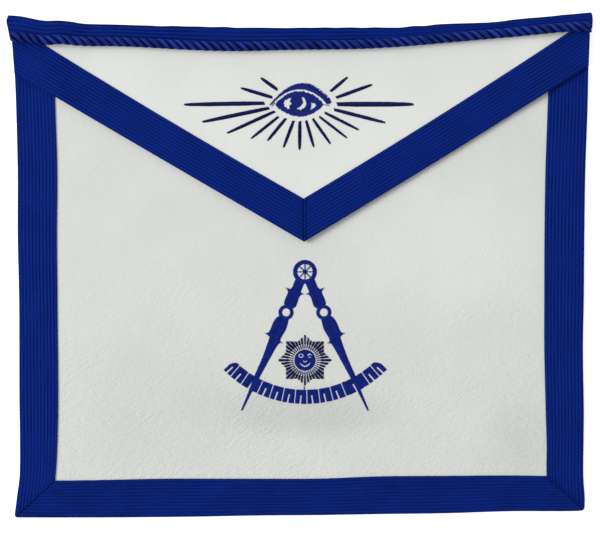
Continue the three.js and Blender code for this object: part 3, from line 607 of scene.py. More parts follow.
def feed(made, *values, **inputs):
    """Sets a node's inputs, by place or by name.

    Each is a value, a socket that it is linked to, a node that stands for its first output, or None.
    """
    for key, value in [*enumerate(values), *inputs.items()]:
        socket = made.inputs[key if isinstance(key, int) else key.replace("_", " ")]
        source = value.outputs[0] if isinstance(value, bpy.types.Node) else value
        if isinstance(source, bpy.types.NodeSocket):
            made.id_data.links.new(source, socket)
        elif source is not None:
            socket.default_value = source


def add_node(tree, kind, settings=None, *values, **inputs):
    """Adds a node with its settings, or its operation as text, and with its inputs."""
    made = tree.nodes.new(kind)
    if isinstance(settings, str):
        settings = {"operation": settings}
    for name, value in (settings or {}).items():
        setattr(made, name, value)
    feed(made, *values, **inputs)
    return made


def start_tree(name, **inputs):
    """A geometry tree with its inputs: what adds its nodes, its group input and its output."""
    tree = bpy.data.node_groups.new(name, "GeometryNodeTree")
    rows = [("Geometry", "INPUT", "Geometry"), *((label, "INPUT", kind) for label, kind in inputs.items()),
            ("Material", "INPUT", "Material"), ("Geometry", "OUTPUT", "Geometry")]
    for label, side, kind in rows:
        tree.interface.new_socket(label.replace("_", " "), in_out=side, socket_type=f"NodeSocket{kind}")
    node = partial(add_node, tree)
    return node, node("NodeGroupInput").outputs, node("NodeGroupOutput")


def finish_tree(node, geometry, given, output):
    """Ends a tree in plain, smooth, painted mesh."""
    real = node("GeometryNodeRealizeInstances", Geometry=geometry)
    smooth = node("GeometryNodeSetShadeSmooth", Geometry=real)
    feed(output, node("GeometryNodeSetMaterial", Geometry=smooth, Material=given["Material"]))
    return output.id_data


def run_tree(piece, tree, **values):
    """Runs a tree on a piece and keeps the result as its plain mesh."""
    modifier = piece.modifiers.new(tree.name, "NODES")
    modifier.node_group = tree
    for item in tree.interface.items_tree:
        key = item.name.replace(" ", "_")
        if item.in_out == "INPUT" and key in values:
            modifier[item.identifier] = values[key]
    graph = bpy.context.evaluated_depsgraph_get()
    mesh = bpy.data.meshes.new_from_object(piece.evaluated_get(graph), depsgraph=graph)
    piece.modifiers.remove(modifier)
    old = piece.data
    piece.data = mesh
    bpy.data.meshes.remove(old)
    mesh.name = piece.name
    return piece


def off_middle(node, value):
    """How far the fraction of a value is from its middle: 0 there, 1 at its ends."""
    return node(MATH, "ABSOLUTE", node(MATH, "MULTIPLY_ADD", node(MATH, "FRACT", value), 2.0, -1.0))


def rib_tree():
    """Presses crowned ribs into a strip, here crisp and there flattened, and paints shade into their grooves.

    It reads the strip's attributes rib_place (0 to 1 across), ribbed (0 or 1) and edge (1 for painted edge
    shade).
    """
    node, given, output = start_tree("Ribs", Ribs="Float", Rib_depth="Float")
    across, ribbed, edge = (node(ATTRIBUTE, FLOAT, name) for name in RIB_VALUES)
    off_crest = off_middle(node, node(MATH, "MULTIPLY", across, given["Ribs"]))
    wear_and_shade = node(NOISE, Vector=node("GeometryNodeInputPosition"), Scale=55.0, Detail=3.0)
    crisp = node(MAP_RANGE, Value=wear_and_shade, From_Min=0.36, From_Max=0.6, To_Min=0.5)
    fall = node(MATH, "MULTIPLY", node(MATH, "POWER", off_crest, 1.9), given["Rib depth"])
    depth = node(MATH, "MULTIPLY", fall, node(MATH, "MULTIPLY", ribbed, crisp))
    offset = node(COMBINE, Z=node(MATH, "MULTIPLY", depth, -1.0))
    moved = node(PLACE, Geometry=given["Geometry"], Offset=offset)
    # Painted shade: darker away from the crests, with less contrast where the ribs are flatter, and full on
    # painted edges.
    dark = node(MATH, "ADD", node(MATH, "POWER", off_crest, 0.7), -0.6)
    level = node(MATH, "MULTIPLY", node(MATH, "MULTIPLY_ADD", dark, crisp, 0.6), ribbed)
    kept = node(STORE, {"data_type": "FLOAT", "domain": "POINT"}, Geometry=moved, Name="groove",
                Value=node(MATH, "MAXIMUM", level, edge))
    return finish_tree(node, kept, given, output)


def stitch_tree():
    """Lays one arched thread on each point, along its attribute run; girth varies from thread to thread."""
    node, given, output = start_tree("Stitches", Thread_width="Float", Arch="Float")
    line = node("GeometryNodeCurvePrimitiveLine", Start=(-0.5, 0, 0), End=(0.5, 0, 0))
    curve = node("GeometryNodeResampleCurve", Curve=line, Count=THREAD_STEPS)
    side = off_middle(node, node("GeometryNodeSplineParameter"))
    girth = node(MATH, "MULTIPLY_ADD", node(MATH, "POWER", side, 4.0), -0.4, 1.0)
    shaped = node("GeometryNodeSetCurveRadius", Curve=curve, Radius=girth)
    circle = node("GeometryNodeCurvePrimitiveCircle", Resolution=THREAD_SIDES, Radius=0.5)
    tube = node("GeometryNodeCurveToMesh", Curve=shaped, Profile_Curve=circle, Fill_Caps=True)
    along = node(SEPARATE, Vector=node("GeometryNodeInputPosition")).outputs["X"]
    fall = node(MATH, "MULTIPLY", node(MATH, "POWER", along, 2.0), -4.0)
    rise = node(MATH, "MULTIPLY", node(MATH, "ADD", fall, 1.0), given["Arch"])
    thread = node(PLACE, Geometry=tube, Offset=node(COMBINE, Z=rise))
    run = node(ATTRIBUTE, {"data_type": "FLOAT_VECTOR"}, "run")
    width = node(MATH, "MULTIPLY", node(ATTRIBUTE, FLOAT, "girth"), given["Thread width"])
    length = node(VECTOR_MATH, "LENGTH", run).outputs["Value"]
    flat = node(ALIGN, {"axis": "X", "pivot_axis": "Z"}, Vector=run)
    tilted = node(ALIGN, {"axis": "X", "pivot_axis": "AUTO"}, Rotation=flat, Vector=run)
    laid = node("GeometryNodeInstanceOnPoints", Points=given["Geometry"], Instance=thread, Rotation=tilted,
                Scale=node(COMBINE, None, length, width, width))
    return finish_tree(node, laid, given, output)


def cord_tree():
    """Twists an outline of lobes, one for each strand, along a line; girth is its thickness there."""
    node, given, output = start_tree("Twisted cord", Strands="Int", Lay="Float", Radius="Float",
                                     Valley="Float", Yarns="Float", Yarn_relief="Float")
    spline = node("GeometryNodeSplineParameter")
    line = node("GeometryNodeMeshToCurve", Mesh=given["Geometry"])
    kept = node("GeometryNodeCaptureAttribute", {"domain": "POINT"}, line)
    kept.capture_items.new("FLOAT", "Along")
    feed(kept, Along=spline.outputs["Length"])
    turn = node(MATH, "DIVIDE", kept.outputs["Along"], given["Lay"])
    twisted = node("GeometryNodeSetCurveTilt", Curve=kept, Tilt=node(MATH, "MULTIPLY", turn, 2 * math.pi))
    shaped = node("GeometryNodeSetCurveRadius", Curve=twisted, Radius=node(ATTRIBUTE, FLOAT, "girth"))

    # Across a strand the outline rises from one valley and sinks to the next; its yarns are low round bulges.
    strands = node(MATH, "MULTIPLY", spline.outputs["Factor"], given["Strands"])
    sunk = node(MATH, "MULTIPLY", node(MATH, "POWER", off_middle(node, strands), 3.0), given["Valley"])
    yarns = node(MATH, "MULTIPLY", node(MATH, "FRACT", strands), given["Yarns"])
    dip = node(MATH, "POWER", off_middle(node, yarns), 2.0)
    pressed = node(MATH, "MULTIPLY_ADD", dip, given["Yarn relief"], sunk)
    circle = node("GeometryNodeCurvePrimitiveCircle", Resolution=CORD_SIDES, Radius=1.0)
    rim = node("GeometryNodeCaptureAttribute", {"domain": "POINT"}, circle)
    for label in ("Round", "Height"):
        rim.capture_items.new("FLOAT", label)
    feed(rim, Round=spline.outputs["Factor"], Height=node(MATH, "SUBTRACT", 1.0, pressed))
    reach = node(MATH, "MULTIPLY", rim.outputs["Height"], given["Radius"])
    spot = node(VECTOR_MATH, "SCALE", node("GeometryNodeInputPosition"), Scale=reach)
    outline = node(PLACE, Geometry=rim, Position=spot)
    tube = node("GeometryNodeCurveToMesh", Curve=shaped, Profile_Curve=outline, Fill_Caps=True)
    place = node(COMBINE, None, kept.outputs["Along"], rim.outputs["Round"], rim.outputs["Height"])
    stored = node(STORE, {"data_type": "FLOAT_VECTOR", "domain": "POINT"}, Geometry=tube, Name="strand_place",
                  Value=place)
    return finish_tree(node, stored, given, output)


# Materials


def start_material(name, colour, roughness, specular, **settings):
    """A Principled material, what adds its nodes, its shader, and its places in millimetres and as UV."""
    material = bpy.data.materials.new(name)
    material.use_nodes = True
    node = partial(add_node, material.node_tree)
    shader = material.node_tree.nodes["Principled BSDF"]
    feed(shader, Base_Color=(*colour, 1), Roughness=roughness, Specular_IOR_Level=specular, **settings)
    coordinates = node("ShaderNodeTexCoord").outputs
    millimetres = node(MAPPING, Vector=coordinates["Object"], Scale=(1000, 1000, 1000))
    return material, node, shader, millimetres, coordinates["UV"]


def tint(node, shader, factor, low, high, dark, light):
    """The base colour, between a dark and a light one as a factor goes from low to high."""
    amount = node(MAP_RANGE, Value=factor, From_Min=low, From_Max=high)
    made = node("ShaderNodeMix", {"data_type": "RGBA"}, amount)
    for place, colour in ((6, dark), (7, light)):
        made.inputs[place].default_value = (*colour, 1)
    feed(shader, Base_Color=made.outputs[2])


def shade(colour, factor):
    return tuple(channel * factor for channel in colour)


def emboss(node, shader, *layers):
    """Lays bumps one over another: patterns from 0 to 1, real heights in millimetres, and strengths."""
    last = None
    for pattern, height, strength in layers:
        last = node("ShaderNodeBump", Height=pattern, Distance=height * MM, Strength=strength, Normal=last)
    feed(shader, Normal=last)


def grain_leather(colour):
    """Drum-dyed white grain leather: a soft satin skin with a pebbled grain and finer wrinkles in bands."""
    material, node, shader, place, _ = start_material("white_grain_leather", colour, 0.46, 0.35)
    mottle = node(NOISE, Vector=place, Scale=1 / 38, Detail=3)
    # The sheet's own tone and its painted shading, stored on its points, shift the mottled colour.
    own = node(VALUE, {"attribute_name": "leather_tone"}).outputs["Fac"]
    tone = node(MATH, "MULTIPLY_ADD", mottle, 0.4, node(MATH, "ADD", own, -0.2))
    tint(node, shader, tone, 0, 1, shade(colour, 0.88), shade(colour, 1.14))
    stir = node(NOISE, Vector=place, Scale=1 / 6, Detail=2).outputs["Color"]
    warped = node(VECTOR_MATH, "ADD", place, node(VECTOR_MATH, "SCALE", stir, Scale=3.2))
    pebble = node("ShaderNodeTexVoronoi", {"feature": "SMOOTH_F1"}, Vector=warped, Scale=1 / 1.5,
                  Smoothness=0.6)
    # The lower part has been bent more, and its grain is coarser.
    up = node(SEPARATE, Vector=place).outputs["Y"]
    bent = node(MAP_RANGE, Value=up, From_Min=20, From_Max=-110, To_Min=0.5, To_Max=1.3)
    # Wrinkles run one way over the left and another over the right, a few millimetres apart.
    wrinkles = []
    for lean, length, pitch in ((28, 2.8, 2.2), (-6, 3, 2.0)):
        turned = node(MAPPING, {"vector_type": "TEXTURE"}, Vector=warped,
                      Rotation=(0, 0, math.radians(lean)), Scale=(length, 1, 1))
        wrinkles.append(node(NOISE, Vector=turned, Scale=1 / pitch, Detail=3, Roughness=0.6))
    patch = node(NOISE, Vector=place, Scale=1 / 60, Detail=1)
    choice = node(MAP_RANGE, Value=patch, From_Min=0.42, From_Max=0.58)
    wrinkle = node("ShaderNodeMix", {"data_type": "FLOAT"}, choice, None, *wrinkles)
    emboss(node, shader,
           (node(MATH, "MULTIPLY", pebble, bent), 0.22, 0.45),
           (node(MATH, "MULTIPLY", wrinkle, bent), 0.75, 0.72),
           (node(NOISE, Vector=place, Scale=1 / 0.35, Detail=2), 0.05, 0.3))
    feed(shader, Roughness=node(MAP_RANGE, Value=mottle, To_Min=0.42, To_Max=0.52))
    return material


def flesh_leather(colour):
    """The flesh side of the same hide, shaved and buffed: matt, warmer, with a short fuzzy nap."""
    material, node, shader, place, _ = start_material("buffed_flesh_side", colour, 0.9, 0.15,
                                                      Sheen_Weight=0.25)
    cloud = node(NOISE, Vector=place, Scale=1 / 14, Detail=4, Roughness=0.6)
    tint(node, shader, cloud, 0.3, 0.7, shade(colour, 0.9), colour)
    emboss(node, shader, (node(NOISE, Vector=place, Scale=1 / 0.6, Detail=4, Roughness=0.7), 0.12, 0.6))
    return material


def ribbed_ribbon(colour):
    """Ribbed petersham ribbon: cotton cords under a dense matt weave, with fine threads across them."""
    material, node, shader, place, spot = start_material("ribbed_petersham_ribbon", colour, 0.8, 0.04)
    streak = node(MAPPING, Vector=spot, Scale=(0.035, 1.6, 1))
    streaks = node(NOISE, Vector=streak, Scale=1.0, Detail=3, Roughness=0.55)
    patches = node(NOISE, Vector=place, Scale=1 / 22, Detail=3, Roughness=0.6)
    both = node(MATH, "MULTIPLY_ADD", patches, 0.16, node(MATH, "MULTIPLY_ADD", streaks, 0.45, 0.2))
    # Painted shade from the strip's points darkens the grooves, edges, seams and tucked ends.
    groove = node(VALUE, {"attribute_name": "groove"}).outputs["Fac"]
    grain = node(MATH, "MULTIPLY_ADD", node(NOISE, Vector=place, Scale=1 / 1.3, Detail=2), 0.24, -0.12)
    wear_and_shade = node(MATH, "MULTIPLY_ADD", groove, -0.4, node(MATH, "ADD", both, grain))
    tint(node, shader, wear_and_shade, 0.0, 0.5, shade(colour, 0.3), shade(colour, 1.6))
    # The weft shows as threads 0.7 mm apart, drawn about twice as coarse as they are.
    weft = node("ShaderNodeTexWave", {"wave_type": "BANDS", "bands_direction": "X"}, Vector=spot,
                Scale=math.pi / 10 / 0.7, Distortion=0.6, Detail=1, Detail_Scale=0.6).outputs["Fac"]
    emboss(node, shader, (weft, 0.07, 0.5), (node(NOISE, Vector=place, Scale=1 / 0.3, Detail=2), 0.04, 0.4))
    return material


def rayon_cord(colour):
    """Rayon upholstery cord with a low gloss: painted shade between its strands, painted highlights on its
    yarns.
    """
    material, node, shader, _, _ = start_material("rayon_cord", colour, 0.45, 0.03)
    spot = node(VALUE, {"attribute_name": "strand_place"}).outputs["Vector"]
    # Painted shade deep in the valleys between strands, and streaks along the yarns that run up to a painted
    # highlight.
    out = node(SEPARATE, Vector=spot).outputs["Z"]
    height = node(MAP_RANGE, Value=out, From_Min=0.78, From_Max=1.0)
    lines = node(MAPPING, Vector=spot, Scale=(1000 / 14, 8, 0))
    streaks = node(NOISE, Vector=lines, Scale=1.0, Detail=1)
    crisp = node(MAP_RANGE, Value=streaks, From_Min=0.4, From_Max=0.6)
    tone = node(MATH, "MULTIPLY", height, node(MATH, "MULTIPLY_ADD", crisp, 0.5, 0.5))
    # The light colour is a painted highlight, a paler and greyer blue like a gloss.
    painted_sheen = tuple(channel + 0.01 for channel in shade(colour, 2.7))
    tint(node, shader, tone, 0.15, 0.95, shade(colour, 0.15), painted_sheen)
    fine = node(MAPPING, Vector=spot, Scale=(1000 / 6, 70, 0))
    emboss(node, shader, (node(NOISE, Vector=fine, Scale=1.0, Detail=2), 0.06, 0.6))
    return material


def embroidery_thread(name, colour, roughness):
    """Trilobal polyester embroidery thread: fine twisted filaments with a silky gloss along them."""
    material, node, shader, place, _ = start_material(name, colour, roughness, 0.12)
    tone = node(VALUE, {"attribute_name": "tone"}).outputs["Fac"]
    tint(node, shader, tone, 0, 1, shade(colour, 0.72), shade(colour, 1.3))
    emboss(node, shader, (node(NOISE, Vector=place, Scale=1 / 0.18, Detail=2), 0.03, 0.5))
    return material


def studio_floor(colour):
    """Seamless background paper: flat, matt and almost white."""
    material, node, shader, place, _ = start_material("background_paper", colour, 0.95, 0.0,
                                                      Emission_Strength=0.6, Emission_Color=(1, 1, 1, 1))
    fibre = node(NOISE, Vector=place, Scale=1 / 1.5, Detail=3)
    tint(node, shader, fibre, 0.3, 0.7, shade(colour, 0.995), colour)
    return material


def place_piece(piece, slot, *nodes):
    """Hides the solids that a piece replaces and attaches it to the root body; its slot is not used."""
    if nodes:
        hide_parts(*nodes)
    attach(piece, "root")


FINISHES = {}
TREES = {}


def finish_of(kind, colours):
    """The material of a kind, made once."""
    makers = {
        "leather": lambda: grain_leather(colours.leather),
        "flesh": lambda: flesh_leather(colours.flesh),
        "ribbon": lambda: ribbed_ribbon(colours.ribbon),
        "cord": lambda: rayon_cord(colours.cord),
        "thread": lambda: embroidery_thread("embroidery_thread", colours.thread, 0.42),
        "ray thread": lambda: embroidery_thread("dark_embroidery_thread", colours.ray_thread, 0.45),
        "sewing": lambda: embroidery_thread("sewing_thread", colours.sewing, 0.6),
        "floor": lambda: studio_floor(colours.floor),
    }
    if kind not in FINISHES:
        FINISHES[kind] = makers[kind]()
    return FINISHES[kind]


def tree_of(kind):
    """The geometry tree of a kind, made once."""
    if kind not in TREES:
        TREES[kind] = {"ribs": rib_tree, "stitches": stitch_tree, "cord": cord_tree}[kind]()
    return TREES[kind]


# Sizes and colours that a user may change


def length_property(label, about, default):
    return bpy.props.FloatProperty(name=label, description=about, default=default, min=0, unit="LENGTH",
                                   precision=5)


def count_property(label, about, default):
    return bpy.props.IntProperty(name=label, description=about, default=default, min=1)


def colour_property(label, about, code):
    return bpy.props.FloatVectorProperty(name=label, description=about, default=linear(code), min=0, max=1,
                                         size=3, subtype="COLOR")


class ApronSizes(bpy.types.PropertyGroup):
    """Sizes of the apron, as it lies flat"""

    overall_width: length_property("Overall width", "From end to end of the band", cad_size.x)
    overall_height: length_property("Overall height", "From the bottom edge to the highest corner", 0.361)
    leather_thickness: length_property("Leather thickness", "Body and flap", 0.0015)
    leather_relief: length_property("Leather relief", "Rise of the waves in the lying leather", 0.00016)
    ribbon_thickness: length_property("Ribbon thickness", "Over the tops of the ribs", 0.001)
    ribbon_width: length_property("Ribbon width", "As it shows on the front", 0.028)
    rib_count: count_property("Ribs", "Ribs along each ribbon", 11)
    rib_depth: length_property("Rib depth", "Depth of the grooves between ribs", 0.00045)
    fold_radius: length_property("Fold radius", "Rounding where a ribbon turns over an edge", 0.0009)
    flap_depth: length_property("Flap depth", "From the middle of the top edge down to the point", 0.153)
    flap_point_offset: length_property("Flap point offset", "How far right of the middle it lies", 0.0032)
    flap_lift: length_property("Flap lift", "How far the point stands off the body", 0.0018)
    band_width: length_property("Band width", "From the top edge to the cord", 0.0135)
    band_back: length_property("Band width at the back", "Width of the band behind the body", 0.014)
    band_ribs: count_property("Band ribs", "Ribs between the fold and the cord", 5)
    cord_diameter: length_property("Cord diameter", "Over its strands", 0.007)
    strands: count_property("Strands", "Strands in the cord", 3)
    strand_spacing: length_property("Strand spacing", "From one strand to the next along the cord", 0.0062)
    thread_width: length_property("Thread width", "Embroidery thread", 0.0005)
    thread_pitch: length_property("Thread pitch", "From one satin stitch to the next", 0.0004)
    sewing_width: length_property("Sewing thread width", "Thread of the edge stitches", 0.00035)
    sewing_stitch: length_property("Stitch length", "Edge stitches", 0.0026)
    eye_reach: length_property("Eye reach", "From the eye's middle to the tip of its longest ray", 0.0825)
    compass_height: length_property("Compass height", "From the head's middle down to the points", 0.0992)
    compass_offset: length_property("Compass offset", "How far right of the middle they lie", 0.0038)


class ApronColours(bpy.types.PropertyGroup):
    """Colours of the apron and its backdrop"""

    leather: colour_property("Leather", "Grain side of the leather", "#d1d3cf")
    flesh: colour_property("Flesh side", "Back of the leather", "#cfcbc0")
    ribbon: colour_property("Ribbon", "Ribbed ribbon and band", "#07206e")
    cord: colour_property("Cord", "Twisted cord", "#0a1e66")
    thread: colour_property("Embroidery", "Thread of the compasses, the quadrant and the sun", "#0d2078")
    ray_thread: colour_property("Ray thread", "Thread of the rays of the eye and the sun", "#05124a")
    sewing: colour_property("Sewing thread", "Edge stitches", "#051450")
    floor: colour_property("Floor", "Background paper", "#f6f6f4")


class Maker:
    """What all operators do: they make pieces from the scene's sizes and finishes."""

    def execute(self, context):
        sizes = context.scene.apron_sizes
        self.make(context, sizes, Plan(sizes), lambda kind: finish_of(kind, context.scene.apron_colours))
        return {"FINISHED"}


# Leather


class APRON_OT_leather(Maker, bpy.types.Operator):
    """Makes the leather body and flap, with the shallow waves of lying leather"""

    bl_idname = "apron.leather"
    bl_label = "Leather"

    def make(self, context, sizes, plan, finish):
        skins = [finish("leather"), finish("flesh")]
        for name, node, place, under, tone, rows, rests, flat, area in (
            ("body_leather", "apron_panel", plan.panel_place, plan.panel_under, plan.body_tone, 181, [],
             (0.411, 0.357), None),
            ("flap_leather", "flap_panel", plan.flap_panel_place, plan.flap_under, plan.flap_tone, 91,
             ["body_leather"], (0.411, 0.160), 0.0374),
        ):
            piece = leather_sheet(name, place, under, tone, plan.leather, np.linspace(0, 1, 205),
                                  np.linspace(0, 1, rows), skins)
            place_piece(piece, "white_leather", node)


# Ribbons


# Places across a rib, as shares of it, and places along a ribbon, in millimetres
RIB_STEPS = (0, 0.07, 0.18, 0.34, 0.5, 0.66, 0.82, 0.93)
STATION_STEP = 2.2
END_STEPS = (0, 0.35, 0.7, 1.05, 1.5, 2.1, 3.0)

# How far the sewing lies in from a ribbon's inner edge, and from the lip of a seam
FURROW = 1.0
SEAM_STITCH = 2.3

# Forms in a ribbon's top, each a depth and a width: the rolled inner edge and the furrow of its sewing, the
# rolled edge and the sewing of a seam's lip, and a folded end. The lip and an end that goes under have the
# distance at which they start to fade in between.
INNER_ROLL, INNER_FURROW = (0.42, 0.7), (0.24, 0.45)
LIP_ROLL, LIP_FURROW, FOLDED_ROLL = (0.4, 0.6), (0.2, 0.4), (0.75, 1.2)
LIP, TUCKED = (0.45, 1.3, 0.7), (0.65, 0.0, 1.8)

# How deep the painted shade is in the furrow of a seam's sewing, and how wide
SEAM_SHADE = (0.8, 0.5)

# How wide the underside is pressed down along the sewing, and how close it then lies
PRESSED_WIDTH, PRESSED_GAP = 2.4, 0.04

# How worn the bottom ribbon is, as a share: its ribs lose half that share of their depth, and painted shade
# of that share lies evenly over it; the others are as new
LOWER_WEAR_AND_SHADE = 0.5

# Angles, in degrees, at which a ribbon's outline rounds a fold
FOLD_TURNS = (25, 50, 75, 90)


def stations(length):
    """Shares along a strip, close together at both ends."""
    steps = np.array(END_STEPS) / length
    count = max(2, round((1 - 2 * steps[-1]) * length / STATION_STEP))
    middle = np.linspace(steps[-1], 1 - steps[-1], count + 1)
    return np.concatenate((steps[:-1], middle, 1 - steps[:-1][::-1]))


def rib_shares(ribs):
    """Shares across the ribs, closest together beside each groove."""
    return [(rib + step) / ribs for rib in range(ribs) for step in RIB_STEPS] + [1.0]


def ribbon_section(plan, ribs):
    """Points round a flat ribbon with its outer edge turned down: distance in, height, rib place, ribbed."""
    width, thick, fold = plan.ribbon_width, plan.ribbon, plan.fold
    rows = []
    for share in rib_shares(ribs):
        rows.append((mix(width, fold, share), thick, share, 1))
    for turn in FOLD_TURNS:
        angle = math.radians(turn)
        rows.append((fold * (1 - math.sin(angle)), thick - fold * (1 - math.cos(angle)), 1, 0))
    foot = -plan.seam - plan.leather
    rows += [(0, foot, 1, 0), (thick * 0.5, foot - 0.02, 1, 0), (thick, foot, 1, 0), (thick, -0.4, 1, 0)]
    rows += [(mix(thick, width, j / 12), 0, 1, 0) for j in range(13)]
    return np.array(rows, float)


def bell(distance, at, depth, reach):
    """A depth at a distance, falling off on both sides like a bell."""
    return depth * np.exp(-(((distance - at) / reach) ** 2))


def roll(distance, depth, radius):
    """A depth at an edge, rounded down to 0 over a radius, like the quarter of a circle."""
    return depth * (1 - np.sqrt(1 - np.clip(1 - distance / radius, 0, 1) ** 2))


def step(distance, depth, start, run):
    """A depth at an edge that eases to 0 from a start on, over a run."""
    return depth * (1 - ease((distance - start) / run))


def ribbon_strip(name, plan, sizes, place, under, length, tucks, material):
    """A ribbed ribbon along a path. tucks says how each end looks: lip, under, fold or none."""
    section = ribbon_section(plan, sizes.rib_count)
    inward, height, rib, ribbed = section.T
    width = plan.ribbon_width
    shares = stations(length)
    s, p = np.meshgrid(shares, inward, indexing="ij")
    wobble = 0.16 * cloudy(s * length, p, 17, 11) * np.clip(p / 3, 0, 1) * np.clip((width - p) / 3, 0, 1)
    x, y = place((p + wobble) / width, s)
    z = under(x, y) + height
    # The inner edge is sewn down: it rolls over, and the stitches press a furrow beside it.
    top = ribbed > 0
    edge = width - p
    z = z - np.where(top, roll(edge, *INNER_ROLL) + bell(edge, FURROW, *INNER_FURROW), 0)
    pressed = (plan.seam - PRESSED_GAP) * ease(1 - edge / PRESSED_WIDTH)
    z = z - np.where(~top & (height == 0) & (edge < PRESSED_WIDTH), pressed, 0)
    # seams holds painted shade: in the furrow of a seam's sewing, and where an end tucks under.
    seams = np.zeros_like(z)
    for distance, kind in ((s * length, tucks[0]), ((1 - s) * length, tucks[1])):
        if kind == "lip":
            lip = step(distance, *LIP) - bell(distance, SEAM_STITCH, *LIP_FURROW)
            z = z + np.where(top, lip - roll(distance, *LIP_ROLL), 0)
            seams = np.maximum(seams, bell(distance, SEAM_STITCH, *SEAM_SHADE))
        elif kind == "under":
            z = z - np.where(top, step(distance, *TUCKED), 0)
            seams = np.maximum(seams, np.clip(1 - distance / 1.1, 0, 1))
        elif kind == "fold":
            z = z - np.where(top, roll(distance, *FOLDED_ROLL), 0)
    rings = np.stack((x, y, z), -1)
    spot = np.stack((s * length, p + 0 * s), -1)
    piece = wall_strip(name, rings, section[:, :2], spot, [material])
    # Painted shade along the rolled inner edge and over the outer fold.
    dark = np.clip(1 - edge / 0.9, 0, 1) + np.clip(1 - p / 0.7, 0, 1)
    # The bottom ribbon gets flatter ribs and painted shade all over it.
    wear_and_shade = LOWER_WEAR_AND_SHADE if tucks[0] == "under" else 0.0
    tall = len(shares), 1
    press_ribs(piece, np.tile(rib, tall), np.tile(ribbed, tall), np.maximum(np.maximum(dark, seams), wear_and_shade),
               sizes.rib_count, (1 - 0.5 * wear_and_shade) * sizes.rib_depth, material)
    return piece


def folded_end(name, plan, place, under, material):
    """The part of a flap ribbon's end that is turned down over the leather's side edge."""
    t = np.linspace(0, 1, 40)
    x, y = place(t, 0 * t)
    inward = -np.sign(x)
    bed = under(x, y)
    drop = plan.leather + plan.seam - 0.05
    outline = ((0.4, 0.1), (0.06, 0.02), (0.02, -drop), (0.9, -drop), (0.95, 0.02), (0.8, 0.1))
    rings = np.stack([np.stack((x + inward * aside, y, bed + height), -1) for aside, height in outline], 1)
    section = [(float(point[0]), float(point[2])) for point in rings[0]]
    spot = np.stack(np.broadcast_arrays(-rings[0, :, 2][None] - 2, y[:, None]), -1)
    piece = wall_strip(f"{name}_end", rings, section, spot, [material])
    # The turned-down end is painted with even shade.
    set_values(piece.data, "groove", np.full(len(piece.data.vertices), 0.6))
    return piece


def press_ribs(piece, rib, ribbed, edge, count, depth, material):
    """Gives a strip its ribs and their painted shade."""
    for label, values in zip(RIB_VALUES, (rib, ribbed, edge)):
        set_values(piece.data, label, np.clip(values, 0, 1))
    run_tree(piece, tree_of("ribs"), Ribs=float(count), Rib_depth=depth, Material=material)
    for label in RIB_VALUES:
        piece.data.attributes.remove(piece.data.attributes[label])


def ribbon_rows(plan):
    """Each ribbon's name, node, path, bed, length, ends and resting place."""
    tall = float(plan.top(plan.left(0.0)) - plan.bottom(0.0))
    wide = float(plan.right(0.0) - plan.left(0.0))
    rows = [(f"{name}_side_ribbon", f"side_ribbon_{name}", plan.side_ribbon_place(name),
             plan.side_ribbon_under, tall, ("none", "lip"), "body_leather") for name in plan.sides]
    rows.append(("lower_ribbon", "bottom_ribbon", plan.bottom_ribbon_place, plan.side_ribbon_under, wide,
                 ("under", "under"), "body_leather"))
    for name, side in plan.sides.items():
        slope = float(np.hypot(abs(side["edge"](side["y"]) - plan.point[0]), side["y"] - plan.point[1]))
        rows.append((f"{name}_flap_ribbon", f"flap_ribbon_{name}", plan.flap_ribbon_place(name),
                     plan.flap_ribbon_under, slope, ("fold", "under" if name == "left" else "lip"),
                     "flap_leather"))
    return rows


class APRON_OT_ribbons(Maker, bpy.types.Operator):
    """Makes the ribbed ribbons round the body and along the flap"""

    bl_idname = "apron.ribbons"
    bl_label = "Ribbons"

    def make(self, context, sizes, plan, finish):
        material = finish("ribbon")
        for name, node, place, under, length, tucks, rests in ribbon_rows(plan):
            piece = ribbon_strip(name, plan, sizes, place, under, length, tucks, material)
            if tucks[0] == "fold":
                turned = folded_end(name, plan, place, under, material)
                with context.temp_override(active_object=piece, selected_editable_objects=[piece, turned]):
                    bpy.ops.object.join()
            place_piece(piece, "blue_ribbon", node)


